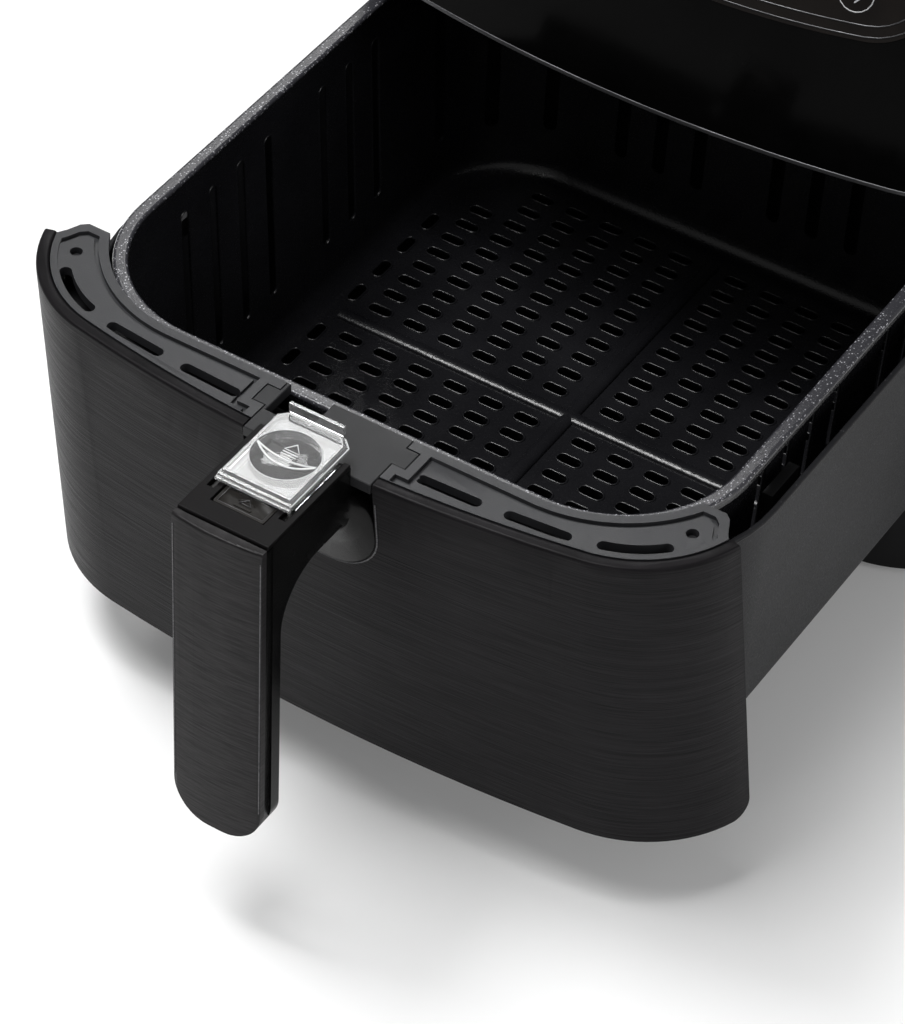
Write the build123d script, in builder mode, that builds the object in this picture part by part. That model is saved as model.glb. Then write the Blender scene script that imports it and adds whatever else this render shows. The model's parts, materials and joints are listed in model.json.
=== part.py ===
"""Square-basket air fryer with its drawer standing open.

Millimetres, +Z up, -Y towards the cook.  Z = 0 is the table top.  Every plan drawing is
made in the drawer's own plan axes, whose origin is over the middle of the basket floor;
`level`, `upright` and `cross` put that origin where the open drawer stands.
"""

import os
from math import atan2, cos, hypot, pi, radians, sin, tan

from build123d import *

# ---------------------------------------------------------------- driving dimensions
open_by = 199.0            # how far the drawer stands out of the housing
trim_top = 174.0           # top of the drawer's trims above the table
housing_height = 336.0
housing_depth = 325.5
handle_reach = 223.6       # basket middle to the handle's front face

# plan of the bowed front, at the drawer's top and at its bottom
front_half = 137.8         # half width at the top of the drawer
front_bow = -172.5         # middle of the bow
front_corner_y = -114.3    # middle of the corner arc
front_corner = 50.0
tip_angle = -17.0          # where the panel's ends stop on the corner arc
foot_half = 141.3          # half width at the bottom of the drawer
foot_bow = -154.7
foot_corner_y = -97.1
foot_corner = 52.0
foot_tip_angle = -12.5

panel_drop = 138.2
panel_wall = 4.6
panel_bottom = trim_top - panel_drop

# basket
rim_top = trim_top - 4.65
basket_half = 115.0        # inside, at the rim
basket_front = -140.0
basket_back = 118.5
basket_corner = 45.0
basket_wall = 1.2
basket_draft = 2.4
floor_top = trim_top - 111.65
rim_reach = 5.3
rim_thick = 3.0

# outer pan
pan_rim = trim_top - 19.0
pan_bottom = trim_top - 121.0
pan_half = 128.0
pan_front = -148.5
pan_back = 131.0
pan_corner = 58.0
pan_wall = 1.0
pan_draft = 3.3

# handle
handle_half = 17.26
deck_top = trim_top + 5.5
handle_bottom = trim_top - 129.5
plate_half = 24.5
plate_tab_half = 29.5

# housing
shell_wall = 2.6
base_bottom = 3.0
base_top = panel_bottom - 2.0
fascia_bottom = trim_top + 15.0
cover_bottom = trim_top + 139.0
fan_x = 0.0
fan_y = open_by - 10.5
roof = trim_top + 48.0      # top of the cavity liner

# the open drawer's plan origin, so that the whole stands centred on Y = 0
housing_front = front_bow + open_by
housing_back = housing_front + housing_depth
centre_y = (handle_reach - housing_back) / 2

os.makedirs("parts", exist_ok=True)


# ---------------------------------------------------------------- planes and outlines
def level(height):
    """Horizontal drawing plane at a height above the table."""
    return Plane((0, centre_y, height))


def upright(x):
    """Drawing plane facing +X: its own x is Y and its own y is Z."""
    return Plane(origin=(x, centre_y, 0), x_dir=(0, 1, 0), z_dir=(1, 0, 0))


def cross(y):
    """Drawing plane facing -Y: its own x is X and its own y is Z."""
    return Plane(origin=(0, centre_y + y, 0), x_dir=(1, 0, 0), z_dir=(0, -1, 0))


def bow_of(half, bow_y, corner_y, corner):
    """Radius and half angle of the bow that runs tangent into both corner arcs."""
    across = half - corner
    deep = corner_y - bow_y
    radius = (across**2 + deep**2 - corner**2) / (2 * (deep - corner))
    return radius, atan2(across, radius - deep)


def bowed_half(half, bow_y, corner_y, corner, end_angle=0.0):
    """Right half of a bowed front: draws the bow and the corner, returns the last point."""
    radius, lean = bow_of(half, bow_y, corner_y, corner)

    def on_bow(angle):
        return (radius * sin(angle), bow_y + radius - radius * cos(angle))

    def on_corner(angle):
        across = half - corner
        return (across + corner * cos(angle), corner_y + corner * sin(angle))

    start = lean - pi / 2
    end = radians(end_angle)
    ThreePointArc(on_bow(0), on_bow(lean / 2), on_bow(lean))
    ThreePointArc(on_bow(lean), on_corner((start + end) / 2), on_corner(end))
    return on_corner(end)


def bowed_band(half, bow_y, corner_y, corner, depth, end_angle):
    """Plan of a bowed strip of one depth, from tip to tip."""
    with BuildSketch(Plane.XY) as plan:
        with BuildLine(Plane.XY):
            outer = bowed_half(half, bow_y, corner_y, corner, end_angle)
            inner = bowed_half(half - depth, bow_y + depth, corner_y, corner - depth, end_angle)
            Line(outer, inner)
            mirror(about=Plane.YZ)
        make_face()
    return plan.sketch


def housing_plan(half, bow_y, corner_y, back_y, corner=50.0):
    """Closed plan of the housing: bowed front, straight sides and rounded back."""
    diagonal = corner * cos(pi / 4)
    with BuildSketch(Plane.XY) as plan:
        with BuildLine(Plane.XY):
            side_start = bowed_half(half, bow_y, corner_y, corner)
            side_end = (half, back_y - corner)
            Line(side_start, side_end)
            back_end = (half - corner, back_y)
            middle = (half - corner + diagonal, back_y - corner + diagonal)
            ThreePointArc(side_end, middle, back_end)
            Line(back_end, (0, back_y))
            mirror(about=Plane.YZ)
        make_face()
    return plan.sketch


# heights of the housing's sections: half width, front, corner centre, back and corner at each
foot_front = foot_bow + open_by
foot_side_y = foot_corner_y + open_by
front_side_y = front_corner_y + open_by
housing_sections = [
    (base_bottom, foot_half - 1.0, foot_front + 2.0, foot_side_y + 1.0, housing_back - 4, foot_corner),
    (panel_bottom, foot_half, foot_front, foot_side_y, housing_back - 3, foot_corner),
    (trim_top, front_half, housing_front, front_side_y, housing_back, front_corner),
    (fascia_bottom, front_half, housing_front, front_side_y, housing_back, front_corner),
    (trim_top + 72.0, 136.2, housing_front + 16.0, 100.0, housing_back - 2, front_corner),
    (cover_bottom, 133.0, housing_front + 35.0, 118.0, housing_back - 8, front_corner),
]


def housing_block(inset):
    """Solid body of the housing, with every wall moved in by the inset."""
    with BuildPart() as block:
        for height, half, bow_y, corner_y, back_y, corner in housing_sections:
            with BuildSketch(level(height)):
                add(housing_plan(half - inset, bow_y + inset, corner_y, back_y - inset, corner - inset))
        loft(ruled=True)
    return block.part


def slab(x_range, y_range, z_range, mode=Mode.ADD):
    """Box between two corners in the drawer's plan axes."""
    size = [high - low for low, high in (x_range, y_range, z_range)]
    middle = [(low + high) / 2 for low, high in (x_range, y_range, z_range)]
    with Locations((middle[0], middle[1] + centre_y, middle[2])):
        Box(*size, mode=mode)


def rod(x, y, bottom, top, radius, mode=Mode.ADD):
    """Upright cylinder in the drawer's plan axes."""
    with Locations((x, y + centre_y, (bottom + top) / 2)):
        Cylinder(radius, top - bottom, mode=mode)


def finish(piece, name):
    """Name a finished piece and write it."""
    piece.part.label = name
    export_step(piece.part, f"parts/{name}.step")


# ================================================================ drawer
def tub(bottom, top, half, front, back, corner, draft, bottom_round, wall=0.0):
    """Solid rounded tub that widens upwards, with every wall moved in by the wall's thickness."""
    height = top - bottom - wall
    shrink = height * tan(radians(draft)) + wall
    with BuildPart() as block:
        with BuildSketch(level(bottom + wall)):
            with Locations((0, (front + back) / 2)):
                RectangleRounded(2 * (half - shrink), back - front - 2 * shrink, corner - shrink)
        extrude(amount=height, taper=-draft)
        fillet(block.edges().group_by(Axis.Z)[0], bottom_round - wall)
    return block.part


# Outer pan: pressed tub that hangs behind the drawer front and catches the drips.
pan_size = (pan_bottom, pan_rim, pan_half, pan_front, pan_back, pan_corner, pan_draft, 9.0)
with BuildPart() as drawer_pan:
    add(tub(*pan_size))
    add(tub(*pan_size, pan_wall), mode=Mode.SUBTRACT)
finish(drawer_pan, "drawer_pan")

# Drawer front: bowed panel, wider at its foot, with a notch for the handle's root.
notch_half = 24.9
foot_tip_round = 7.0
trim_thick = 4.0
notch_bottom = trim_top - 45.0
notch_corner = 18.5
with BuildPart() as drawer_front:
    with BuildSketch(level(panel_bottom)):
        add(bowed_band(foot_half, foot_bow, foot_corner_y, foot_corner, panel_wall, foot_tip_angle))
    with BuildSketch(level(trim_top)):
        add(bowed_band(front_half, front_bow, front_corner_y, front_corner, panel_wall, tip_angle))
    loft(ruled=True)
    # upright rebate behind the lip that the trims drop into
    rebate = panel_wall + 0.2
    with BuildSketch(level(trim_top - trim_thick - 0.4)):
        add(housing_plan(front_half - rebate, front_bow + rebate, front_corner_y, 60, front_corner - rebate))
    extrude(amount=20, mode=Mode.SUBTRACT)
    tips = drawer_front.edges().group_by(Axis.Z)[0].filter_by(GeomType.LINE)
    fillet(tips, foot_tip_round)
    with BuildSketch(cross(-150)):
        with Locations((0, (notch_bottom + trim_top + 20) / 2)):
            RectangleRounded(2 * notch_half, trim_top + 20 - notch_bottom, notch_corner)
    extrude(amount=40, mode=Mode.SUBTRACT)
    lip = drawer_front.edges().group_by(Axis.Z)[-1].filter_by(GeomType.CIRCLE)
    fillet(lip.filter_by(lambda edge: edge.radius >= front_corner), 1.2)
finish(drawer_front, "drawer_front")

# ---------------------------------------------------------------- basket
basket_size = (
    floor_top - basket_wall,
    rim_top,
    basket_half + basket_wall,
    basket_front - basket_wall,
    basket_back + basket_wall,
    basket_corner + basket_wall,
    basket_draft,
    9.0,
)
rim_half = basket_half + rim_reach
rim_front = basket_front - rim_reach
rim_back = basket_back + rim_reach
rim_middle = (rim_front + rim_back) / 2
slot_pitch_x = 15.2
slot_pitch_y = 9.93
slot_first_x = 12.13
ridge_half = 2.9            # half width of the rounded cross on the floor
ridge_round = 1.4
ridge_lift = 0.3
slot_long = 10.0
slot_wide = 4.5
floor_half = 104.0
floor_front = -127.0
floor_back = 107.0
floor_corner = 34.0


def on_floor(x, y):
    """True where a floor slot lies wholly on the flat of the basket floor."""
    past_x = abs(x) + slot_long / 2 - (floor_half - 6.5 - floor_corner)
    past_y = max(y - floor_back, floor_front - y) + slot_wide / 2 + floor_corner
    if past_x <= floor_corner and past_y <= 0:
        return True
    return past_x <= floor_corner and past_y <= floor_corner and hypot(max(past_x, 0), past_y) <= floor_corner


floor_slots = [
    (side * (slot_first_x + column * slot_pitch_x), row * slot_pitch_y)
    for side in (-1, 1)
    for column in range(6)
    for row in range(-12, 12)
    if row != 0 and on_floor(slot_first_x + column * slot_pitch_x, row * slot_pitch_y)
]
edge_slots = [
    (side * 100.8, way * step)
    for side in (-1, 1)
    for way in (-1, 1)
    for step in (13.5, 30.2, 46.9, 63.6)
]
wall_slot_pitch = 17.0
wall_slots = [-77.0 + step * wall_slot_pitch for step in range(4)]
wall_slots += [8.5 + step * wall_slot_pitch for step in range(3)]
wall_slot_low = trim_top - 90.5
wall_slot_high = trim_top - 18.0
wall_slot_long = wall_slot_high - wall_slot_low
wall_slot_mid = (wall_slot_low + wall_slot_high) / 2

# Basket: drafted tub with a rolled rim, slotted walls and a slotted floor with a raised cross.
with BuildPart() as basket:
    add(tub(*basket_size))
    add(tub(*basket_size, basket_wall), mode=Mode.SUBTRACT)
    with BuildSketch(level(rim_top - rim_thick)):
        with Locations((0, rim_middle)):
            RectangleRounded(2 * rim_half, rim_back - rim_front, basket_corner + rim_reach)
        with Locations((0, (basket_front + basket_back) / 2)):
            mouth_length = basket_back - basket_front
            RectangleRounded(2 * basket_half, mouth_length, basket_corner, mode=Mode.SUBTRACT)
    extrude(amount=rim_thick)
    fillet(basket.edges().group_by(Axis.Z)[-1], 1.3)
    with BuildSketch(upright(5 - floor_half)):
        with Locations((0, floor_top + ridge_lift)):
            Ellipse(ridge_half, ridge_round)
    extrude(amount=2 * floor_half - 10)
    with BuildSketch(cross(floor_back - 4)):
        with Locations((0, floor_top + ridge_lift)):
            Ellipse(ridge_half, ridge_round)
    extrude(amount=floor_back - floor_front - 8)
    with BuildSketch(level(floor_top - 5)):
        with Locations(*floor_slots):
            SlotOverall(slot_long, slot_wide)
        with Locations(*edge_slots):
            SlotOverall(slot_long, slot_wide, rotation=90)
    extrude(amount=10, mode=Mode.SUBTRACT)
    with BuildSketch(upright(-130)):
        with Locations(*[(y, wall_slot_mid) for y in wall_slots]):
            SlotOverall(wall_slot_long, 5.4, rotation=90)
    extrude(amount=260, mode=Mode.SUBTRACT)
    with BuildSketch(cross(130)):
        with Locations(*[(way * step, wall_slot_mid) for way in (-1, 1) for step in (16.5, 33.0, 49.5)]):
            SlotOverall(wall_slot_long, 5.4, rotation=90)
    extrude(amount=40, mode=Mode.SUBTRACT)
    for way in (-1, 1):
        for turn in (14, 45, 76):
            corner_x = (basket_half - basket_corner) * way
            corner = (corner_x, centre_y + basket_back - basket_corner, wall_slot_mid)
            ray = Vector(way * cos(radians(turn)), sin(radians(turn)), 0)
            with BuildSketch(Plane(origin=corner, x_dir=(0, 0, 1), z_dir=ray)):
                SlotOverall(wall_slot_long, 5.4)
            extrude(amount=60, mode=Mode.SUBTRACT)
finish(basket, "basket")

# ---------------------------------------------------------------- trims on the drawer's top
trim_gap = 0.25
trim_inset = panel_wall + trim_gap
rim_band = 3.3             # raised band beside the basket's rim
groove_wide = 1.6
groove_deep = 1.6
outer_band = 2.4           # raised band beside the panel, which dies out along the bow
face_drop = 0.5            # the slotted face lies this much below the band
trim_end_y = -118.4
trim_screw = (119.9, -132.1)
screw_radius = 1.5
trim_bend = CenterArc((front_half - front_corner, front_corner_y), 40.3, -73, 29)


def trim_plan(inset=0.0):
    """Plan of the right trim, moved in by the inset on every side but the panel's."""
    clear = 1.1 + inset
    joint = trim_gap + inset
    end_y = trim_end_y - inset
    lean = 0.6 * inset
    with BuildSketch(Plane.XY) as plan:
        reach = trim_inset
        edge = reach + min(inset, outer_band)
        add(housing_plan(front_half - edge, front_bow + reach, front_corner_y, 60, front_corner - edge))
        with Locations((0, rim_middle)):
            RectangleRounded(
                2 * (rim_half + clear),
                rim_back - rim_front + 2 * clear,
                basket_corner + rim_reach + clear,
                mode=Mode.SUBTRACT,
            )
        with BuildLine(Plane.XY):
            Polyline(
                (-5, end_y),
                (124.4 - lean, end_y),
                (126.7 - lean, end_y - 2.0),
                (128.6 - lean, end_y - 6.4),
                (130.6 - lean, end_y - 9.6),
                (160.0, end_y - 9.6),
                (160.0, 100.0),
                (-5, 100.0),
                close=True,
            )
        make_face(mode=Mode.SUBTRACT)
        with Locations((plate_half + joint, 0)):
            Rectangle(400, 800, align=(Align.MAX, Align.CENTER), mode=Mode.SUBTRACT)
        with Locations((0, -155.1)):
            Rectangle(2 * (plate_tab_half + joint), 8.8 + 2 * joint, mode=Mode.SUBTRACT)
    return plan.sketch


# Right trim: satin strip with a grooved border, three slots and a screw hole.
with BuildPart() as right_trim:
    with BuildSketch(level(trim_top - trim_thick)):
        add(trim_plan())
    extrude(amount=trim_thick)
    with BuildSketch(level(trim_top - face_drop)):
        add(trim_plan(rim_band))
    extrude(amount=face_drop, mode=Mode.SUBTRACT)
    with BuildSketch(level(trim_top - groove_deep)):
        add(trim_plan(rim_band))
        add(trim_plan(rim_band + groove_wide), mode=Mode.SUBTRACT)
    extrude(amount=groove_deep, mode=Mode.SUBTRACT)
    with BuildSketch(level(trim_top - trim_thick)):
        SlotArc(trim_bend, 4.2)
        with Locations((77.9, -157.0)):
            SlotCenterToCenter(19.4, 4.2, rotation=5.6)
        with Locations((46.2, -159.4)):
            SlotCenterToCenter(19.4, 4.2, rotation=2.4)
        with Locations(trim_screw):
            Circle(2.2)
    extrude(amount=trim_thick, mode=Mode.SUBTRACT)
finish(right_trim, "right_trim")

with BuildPart() as left_trim:
    add(mirror(right_trim.part, about=Plane.YZ))
finish(left_trim, "left_trim")

# Screws deep in the trims' holes, threaded into the frame below.
with BuildPart() as trim_screws:
    for way in (-1, 1):
        rod(way * trim_screw[0], trim_screw[1], trim_top - 9.5, trim_top - 2.6, screw_radius)
finish(trim_screws, "trim_screws")

# ---------------------------------------------------------------- frame
# the panel's two plans, which the frame and its brackets follow from behind
panel_sections = (
    (panel_bottom, foot_half, foot_bow, foot_corner_y, foot_corner, foot_tip_angle),
    (trim_top, front_half, front_bow, front_corner_y, front_corner, tip_angle),
)

# Inner frame: bowed rib behind the panel that carries the trims and meets the pan.
frame_gap = 0.3
frame_wall = 3.0
frame_top = trim_top - 4.4
frame_bottom = trim_top - 110.0
frame_shelf = trim_top - 15.0
with BuildPart() as front_frame:
    for height, half, bow_y, corner_y, corner, tip in panel_sections:
        inset = panel_wall + frame_gap
        with BuildSketch(level(height)):
            add(bowed_band(half - inset, bow_y + inset, corner_y, corner - inset, frame_wall, tip))
    loft(ruled=True)
    slab((-200, 200), (-250, 0), (0, frame_bottom), Mode.SUBTRACT)
    slab((-200, 200), (-250, 0), (frame_top, 200), Mode.SUBTRACT)
    slab((-plate_half - 3, plate_half + 3), (-200, -150), (notch_bottom - 3, 200), Mode.SUBTRACT)
    # shelf under the trims, with a boss for each of their screws
    with BuildSketch(level(frame_shelf)):
        add(trim_plan())
        side = 6.4
        shelf_front = front_bow + 8.0
        add(
            housing_plan(front_half - side, shelf_front, front_corner_y, 60, front_corner - side),
            mode=Mode.INTERSECT,
        )
        mirror(about=Plane.YZ)
    extrude(amount=2.0)
    for way in (-1, 1):
        rod(way * trim_screw[0], trim_screw[1], frame_shelf, frame_top, 4.0)
        rod(way * trim_screw[0], trim_screw[1], frame_shelf, frame_top + 1, screw_radius, Mode.SUBTRACT)
finish(front_frame, "front_frame")

# Two folded steel brackets that tie the frame to the pan's front wall.
bracket_x = 60.0
bracket_half = 14.0
bracket_shelf = trim_top - 46.0
bracket_steel = 1.5
with BuildPart() as pan_brackets:
    for height, half, bow_y, corner_y, corner, tip in panel_sections:
        inset = panel_wall + frame_gap + frame_wall + 0.3
        with BuildSketch(level(height)):
            add(bowed_band(half - inset, bow_y + inset, corner_y, corner - inset, bracket_steel, tip))
    loft(ruled=True)
    with BuildSketch(cross(-100)):
        with Locations(*[(x, bracket_shelf - 20) for x in (-bracket_x, bracket_x)]):
            Rectangle(2 * bracket_half, 40)
    extrude(amount=100, mode=Mode.INTERSECT)
    for x in (-bracket_x, bracket_x):
        across = (x - bracket_half, x + bracket_half)
        slab(across, (-152.9, -148.8), (bracket_shelf - bracket_steel, bracket_shelf))
        slab(across, (-150.3, -148.8), (bracket_shelf - bracket_steel, bracket_shelf + 22))
finish(pan_brackets, "pan_brackets")

# ---------------------------------------------------------------- handle
plate_front = -172.0
plate_back = rim_front - 1.1
plate_thick = 4.0

# Base plate: the satin piece between the trims, with stepped joints and the latch recess.
with BuildPart() as handle_plate:
    with BuildSketch(level(trim_top - plate_thick)):
        with Locations((0, (plate_front + plate_back) / 2)):
            Rectangle(2 * plate_half, plate_back - plate_front)
        with Locations((0, -155.1)):
            Rectangle(2 * plate_tab_half, 8.8)
        with Locations((-14.8, plate_back - 7.4)):
            Rectangle(16.6, 14.8, mode=Mode.SUBTRACT)
    extrude(amount=plate_thick)
    chamfer(handle_plate.edges().group_by(Axis.Z)[-1], 0.3)
    # relief under the plate for the latch lever as it lifts
    slab((-10.6, -6.4), (plate_front - 1, -160), (trim_top - plate_thick - 1, trim_top - 1.6), Mode.SUBTRACT)
finish(handle_plate, "handle_plate")

# Steel strap that joins the base plate to the basket's front wall.
strap_y = basket_front - basket_wall - 1.2
with BuildPart() as handle_strap:
    slab((-4, 22), (strap_y - 0.3, strap_y + 1.2), (trim_top - 36, trim_top - 8.2))
    slab((-4, 22), (-148.4, strap_y + 1.2), (trim_top - 9.7, trim_top - 8.2))
    slab((-4, 22), (-148.4, -146.9), (trim_top - 9.7, trim_top - 4.2))
    slab((-4, 22), (-160.0, -146.9), (trim_top - 5.7, trim_top - 4.2))
finish(handle_strap, "handle_strap")

# Handle body: arm with a flared root that fills the notch, and the grip's back half.
root_half = notch_half - 0.4
arm_half = handle_half
grip_back = -211.2
core_front = -215.8
groove_back = -219.6
groove_half = 16.4
grip_corner = 14.0
arm_under = trim_top - 18.2
arm_bend = 21.0             # radius where the arm turns down into the grip
flare_front = -180.5        # the arm widens behind this to fill the notch
flare_back = -167.5
with BuildPart() as handle_body:
    with BuildSketch(upright(-arm_half)):
        with BuildLine(Plane.XY):
            Line((flare_back, trim_top - 4.4), (flare_back, arm_under))
            Line((flare_back, arm_under), (grip_back + arm_bend, arm_under))
            CenterArc((grip_back + arm_bend, arm_under - arm_bend), arm_bend, 90, 90)
            Line((grip_back, arm_under - arm_bend), (grip_back, handle_bottom + 6.5))
            ThreePointArc(
                (grip_back, handle_bottom + 6.5),
                (grip_back - 1.4, handle_bottom + 1.8),
                (core_front, handle_bottom),
            )
            Polyline(
                (core_front, handle_bottom),
                (core_front, deck_top - 1.5),
                (-172.4, deck_top - 1.5),
                (-172.4, trim_top - 4.4),
                (flare_back, trim_top - 4.4),
            )
        make_face()
    extrude(amount=2 * arm_half)
    slab((-groove_half, groove_half), (groove_back, core_front), (handle_bottom + 1.5, deck_top - 3.5))
    with BuildSketch(cross(-160)):
        with Locations((0, handle_bottom + 100)):
            RectangleRounded(2 * arm_half, 200, grip_corner)
    extrude(amount=80, mode=Mode.INTERSECT)
    # plug that fills the notch, and a concave flare from it to the arm
    for y, step in ((-162.6, 0), (flare_back, 0), (-170.8, 0.25), (-174.7, 0.55), (flare_front, 1)):
        wide = (1 - step) ** 2
        half = arm_half + (root_half - arm_half) * wide
        low = arm_under + (notch_bottom + 0.4 - arm_under) * wide
        with BuildSketch(cross(y)):
            with Locations((0, (low + trim_top - 4.4) / 2)):
                RectangleRounded(2 * half, trim_top - 4.4 - low, 6.0 + (notch_corner - 6.8) * wide)
    loft(ruled=True)
    # well for the button, its spring and the latch
    slab((-10.4, 10.4), (-211.4, -176.5), (deck_top - 20, deck_top + 1), Mode.SUBTRACT)
    # slit that lets the latch lever reach back over the basket's rim
    slab((-10.6, -6.3), (-180, -160), (trim_top - 14, trim_top - 3), Mode.SUBTRACT)
finish(handle_body, "handle_body")

# Front plate of the grip: brushed, slightly bowed, rounded at its foot.
plate_face = -handle_reach
plate_bow = 1.5
with BuildPart() as grip_plate:
    with BuildSketch(level(handle_bottom)):
        with BuildLine(Plane.XY):
            plate_side = plate_face + plate_bow
            ThreePointArc((-arm_half, plate_side), (0, plate_face), (arm_half, plate_side))
            Polyline(
                (arm_half, plate_side),
                (arm_half, groove_back),
                (-arm_half, groove_back),
                (-arm_half, plate_side),
            )
        make_face()
    extrude(amount=deck_top - 0.8 - handle_bottom)
    fillet(grip_plate.edges().group_by(Axis.Z)[-1].sort_by(Axis.Y)[0], 1.0)
    with BuildSketch(cross(-160)):
        with Locations((0, handle_bottom + 100)):
            RectangleRounded(2 * arm_half, 200, grip_corner)
    extrude(amount=80, mode=Mode.INTERSECT)
finish(grip_plate, "grip_plate")

# Deck: the arm's top cover, with a window for the button and two slots for the guard.
deck_front = -219.0
button_half = 9.7
button_front = -210.5
button_back = -178.0
guard_slot = 13.6
with BuildPart() as handle_deck:
    slab((-arm_half, arm_half), (deck_front, -172.6), (deck_top - 1.4, deck_top))
    fillet(handle_deck.edges().filter_by(Axis.X).sort_by(Axis.Z)[-2:].sort_by(Axis.Y)[0], 1.0)
    slab((-10.2, 10.2), (button_front - 0.5, button_back + 0.5), (deck_top - 2, deck_top + 1), Mode.SUBTRACT)
    for way in (-1, 1):
        middle = way * guard_slot
        slab((middle - 1.3, middle + 1.3), (-206, -170), (deck_top - 2, deck_top + 1), Mode.SUBTRACT)
finish(handle_deck, "handle_deck")

# Release button: framed plate with a stem for its spring and a foot over the latch lever.
button_drop = 0.5
button_thick = 2.2
button_under = deck_top - button_drop - button_thick
stem_y = -192.0
lever_top = trim_top - 5.5
with BuildPart() as release_button:
    slab((-button_half, button_half), (button_front, button_back), (button_under, deck_top - button_drop))
    fillet(release_button.edges().filter_by(Axis.Z), 0.8)
    slab((-8.6, 8.6), (-209.4, -201.9), (deck_top - button_drop - 0.4, deck_top), Mode.SUBTRACT)
    with BuildSketch(level(deck_top - button_drop - 0.4)):
        with Locations((0, -204.7)):
            Triangle(a=6.4, B=40, C=40)
            Triangle(a=3.6, B=40, C=40, mode=Mode.SUBTRACT)
        with Locations((0, -207.9)):
            Rectangle(6.4, 0.8)
    extrude(amount=0.35)
    rod(0, stem_y, button_under - 8, button_under, 2.4)
    slab((-9.4, -7.0), (-204.5, -201.5), (lever_top + 0.2, button_under))
finish(release_button, "release_button")

# Return spring round the button's stem, standing on the floor of the well.
spring_bottom = deck_top - 19.8
spring_radius = 3.9
spring_wire = 0.45
spring_height = button_under - spring_bottom - 2 * spring_wire - 0.2
with BuildPart() as button_spring:
    with BuildLine(level(spring_bottom + spring_wire).move(Location((0, stem_y, 0)))) as coil:
        Helix(pitch=spring_height / 6, height=spring_height, radius=spring_radius)
    with BuildSketch(Plane(origin=coil.line @ 0, z_dir=coil.line % 0)):
        Circle(spring_wire)
    sweep(is_frenet=True)
finish(button_spring, "button_spring")

# Latch lever on its pin: the button pushes its front end down and the tooth behind lifts.
pivot_y = -186.0
pivot_z = lever_top - 1.5
pin_radius = 1.2
with BuildPart() as latch_lever:
    slab((-9.9, -6.9), (-206.0, -151.5), (lever_top - 3, lever_top))
    slab((-9.9, -6.9), (-154.3, -151.5), (lever_top - 7, lever_top))
    with BuildSketch(upright(-9.9)):
        with Locations((pivot_y, pivot_z)):
            Circle(2.8)
    extrude(amount=3.0)
    with BuildSketch(upright(-9.9)):
        with Locations((pivot_y, pivot_z)):
            Circle(pin_radius + 0.06)
    extrude(amount=3.0, mode=Mode.SUBTRACT)
finish(latch_lever, "latch_lever")

with BuildPart() as latch_pin:
    with BuildSketch(upright(-10.4)):
        with Locations((pivot_y, pivot_z)):
            Circle(pin_radius)
    extrude(amount=20.8)
finish(latch_pin, "latch_pin")

# Keeper: steel hook on the pan's front wall that the latch tooth drops behind.
keeper_shelf = trim_top - 19.4
with BuildPart() as latch_keeper:
    slab((-20, -6), (-150.2, -149.0), (keeper_shelf - 18.6, keeper_shelf))
    slab((-20, -6), (-157.0, -149.0), (keeper_shelf - 1.4, keeper_shelf))
    slab((-20, -6), (-157.0, -155.6), (keeper_shelf - 1.4, keeper_shelf + 10.3))
finish(latch_keeper, "latch_keeper")

# Rivets that hold the strap on the basket's wall.
with BuildPart() as strap_rivets:
    for x in (3, 15):
        with BuildSketch(cross(strap_y - 0.3)):
            with Locations((x, trim_top - 28)):
                Circle(3.0)
        extrude(amount=1.2)
finish(strap_rivets, "strap_rivets")

# Clear guard over the button: it slides back towards the basket to bare the button.
guard_half = 14.3
guard_front = -201.5
guard_back = -165.0
guard_low = deck_top + 0.7
guard_top = guard_low + 3.0
guard_corner = 3.4


def guard_plan(inset):
    """Plan of the guard with cut corners, moved in by the inset."""
    half = guard_half - inset
    front = guard_front + inset
    back = guard_back - inset
    cut = guard_corner - 0.4 * inset
    with BuildSketch(Plane.XY) as plan:
        with BuildLine(Plane.XY):
            Polyline(
                (-half, front),
                (half, front),
                (half, back - cut),
                (half - cut, back),
                (-half + cut, back),
                (-half, back - cut),
                close=True,
            )
        make_face()
    return plan.sketch


with BuildPart() as button_guard:
    with BuildSketch(level(guard_low)):
        add(guard_plan(0))
    extrude(amount=1.3)
    with BuildSketch(level(guard_low + 1.3)):
        add(guard_plan(1.1))
    extrude(amount=guard_top - guard_low - 1.3)
    fillet(button_guard.edges().group_by(Axis.Z)[-1], 0.5)
    with Locations((0, centre_y - 184.0, guard_top + 24.6)):
        Sphere(26.2, mode=Mode.SUBTRACT)
    slab((-10.6, 10.6), (guard_back - 1.6, guard_back - 0.2), (guard_low, guard_top + 4.0))
    slab((-guard_half, guard_half), (guard_front - 1.4, guard_front), (guard_low - 0.4, guard_low + 0.8))
    for way in (-1, 1):
        middle = way * guard_slot
        slab((middle - 0.7, middle + 0.7), (-199.5, -176), (deck_top - 1.1, guard_low + 0.4))
finish(button_guard, "button_guard")

# Soft bumpers that keep the basket's walls off the pan.
with BuildPart() as basket_bumpers:
    for y in (-70, 70):
        for way in (-1, 1):
            slab(
                tuple(sorted((way * 117.2, way * 121.0))),
                (y - 9, y + 9),
                (pan_rim - 14, pan_rim - 6),
            )
finish(basket_bumpers, "basket_bumpers")

# ================================================================ housing
skin = housing_block(0)
skin_inside = housing_block(shell_wall)
side_top_y = front_side_y + front_corner * sin(radians(tip_angle)) + 1.5
side_foot_y = foot_side_y + foot_corner * sin(radians(foot_tip_angle)) + 1.5
fascia_depth = 100.0
edge_strip = 1.4
grille_z = trim_top + 68.0

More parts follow.
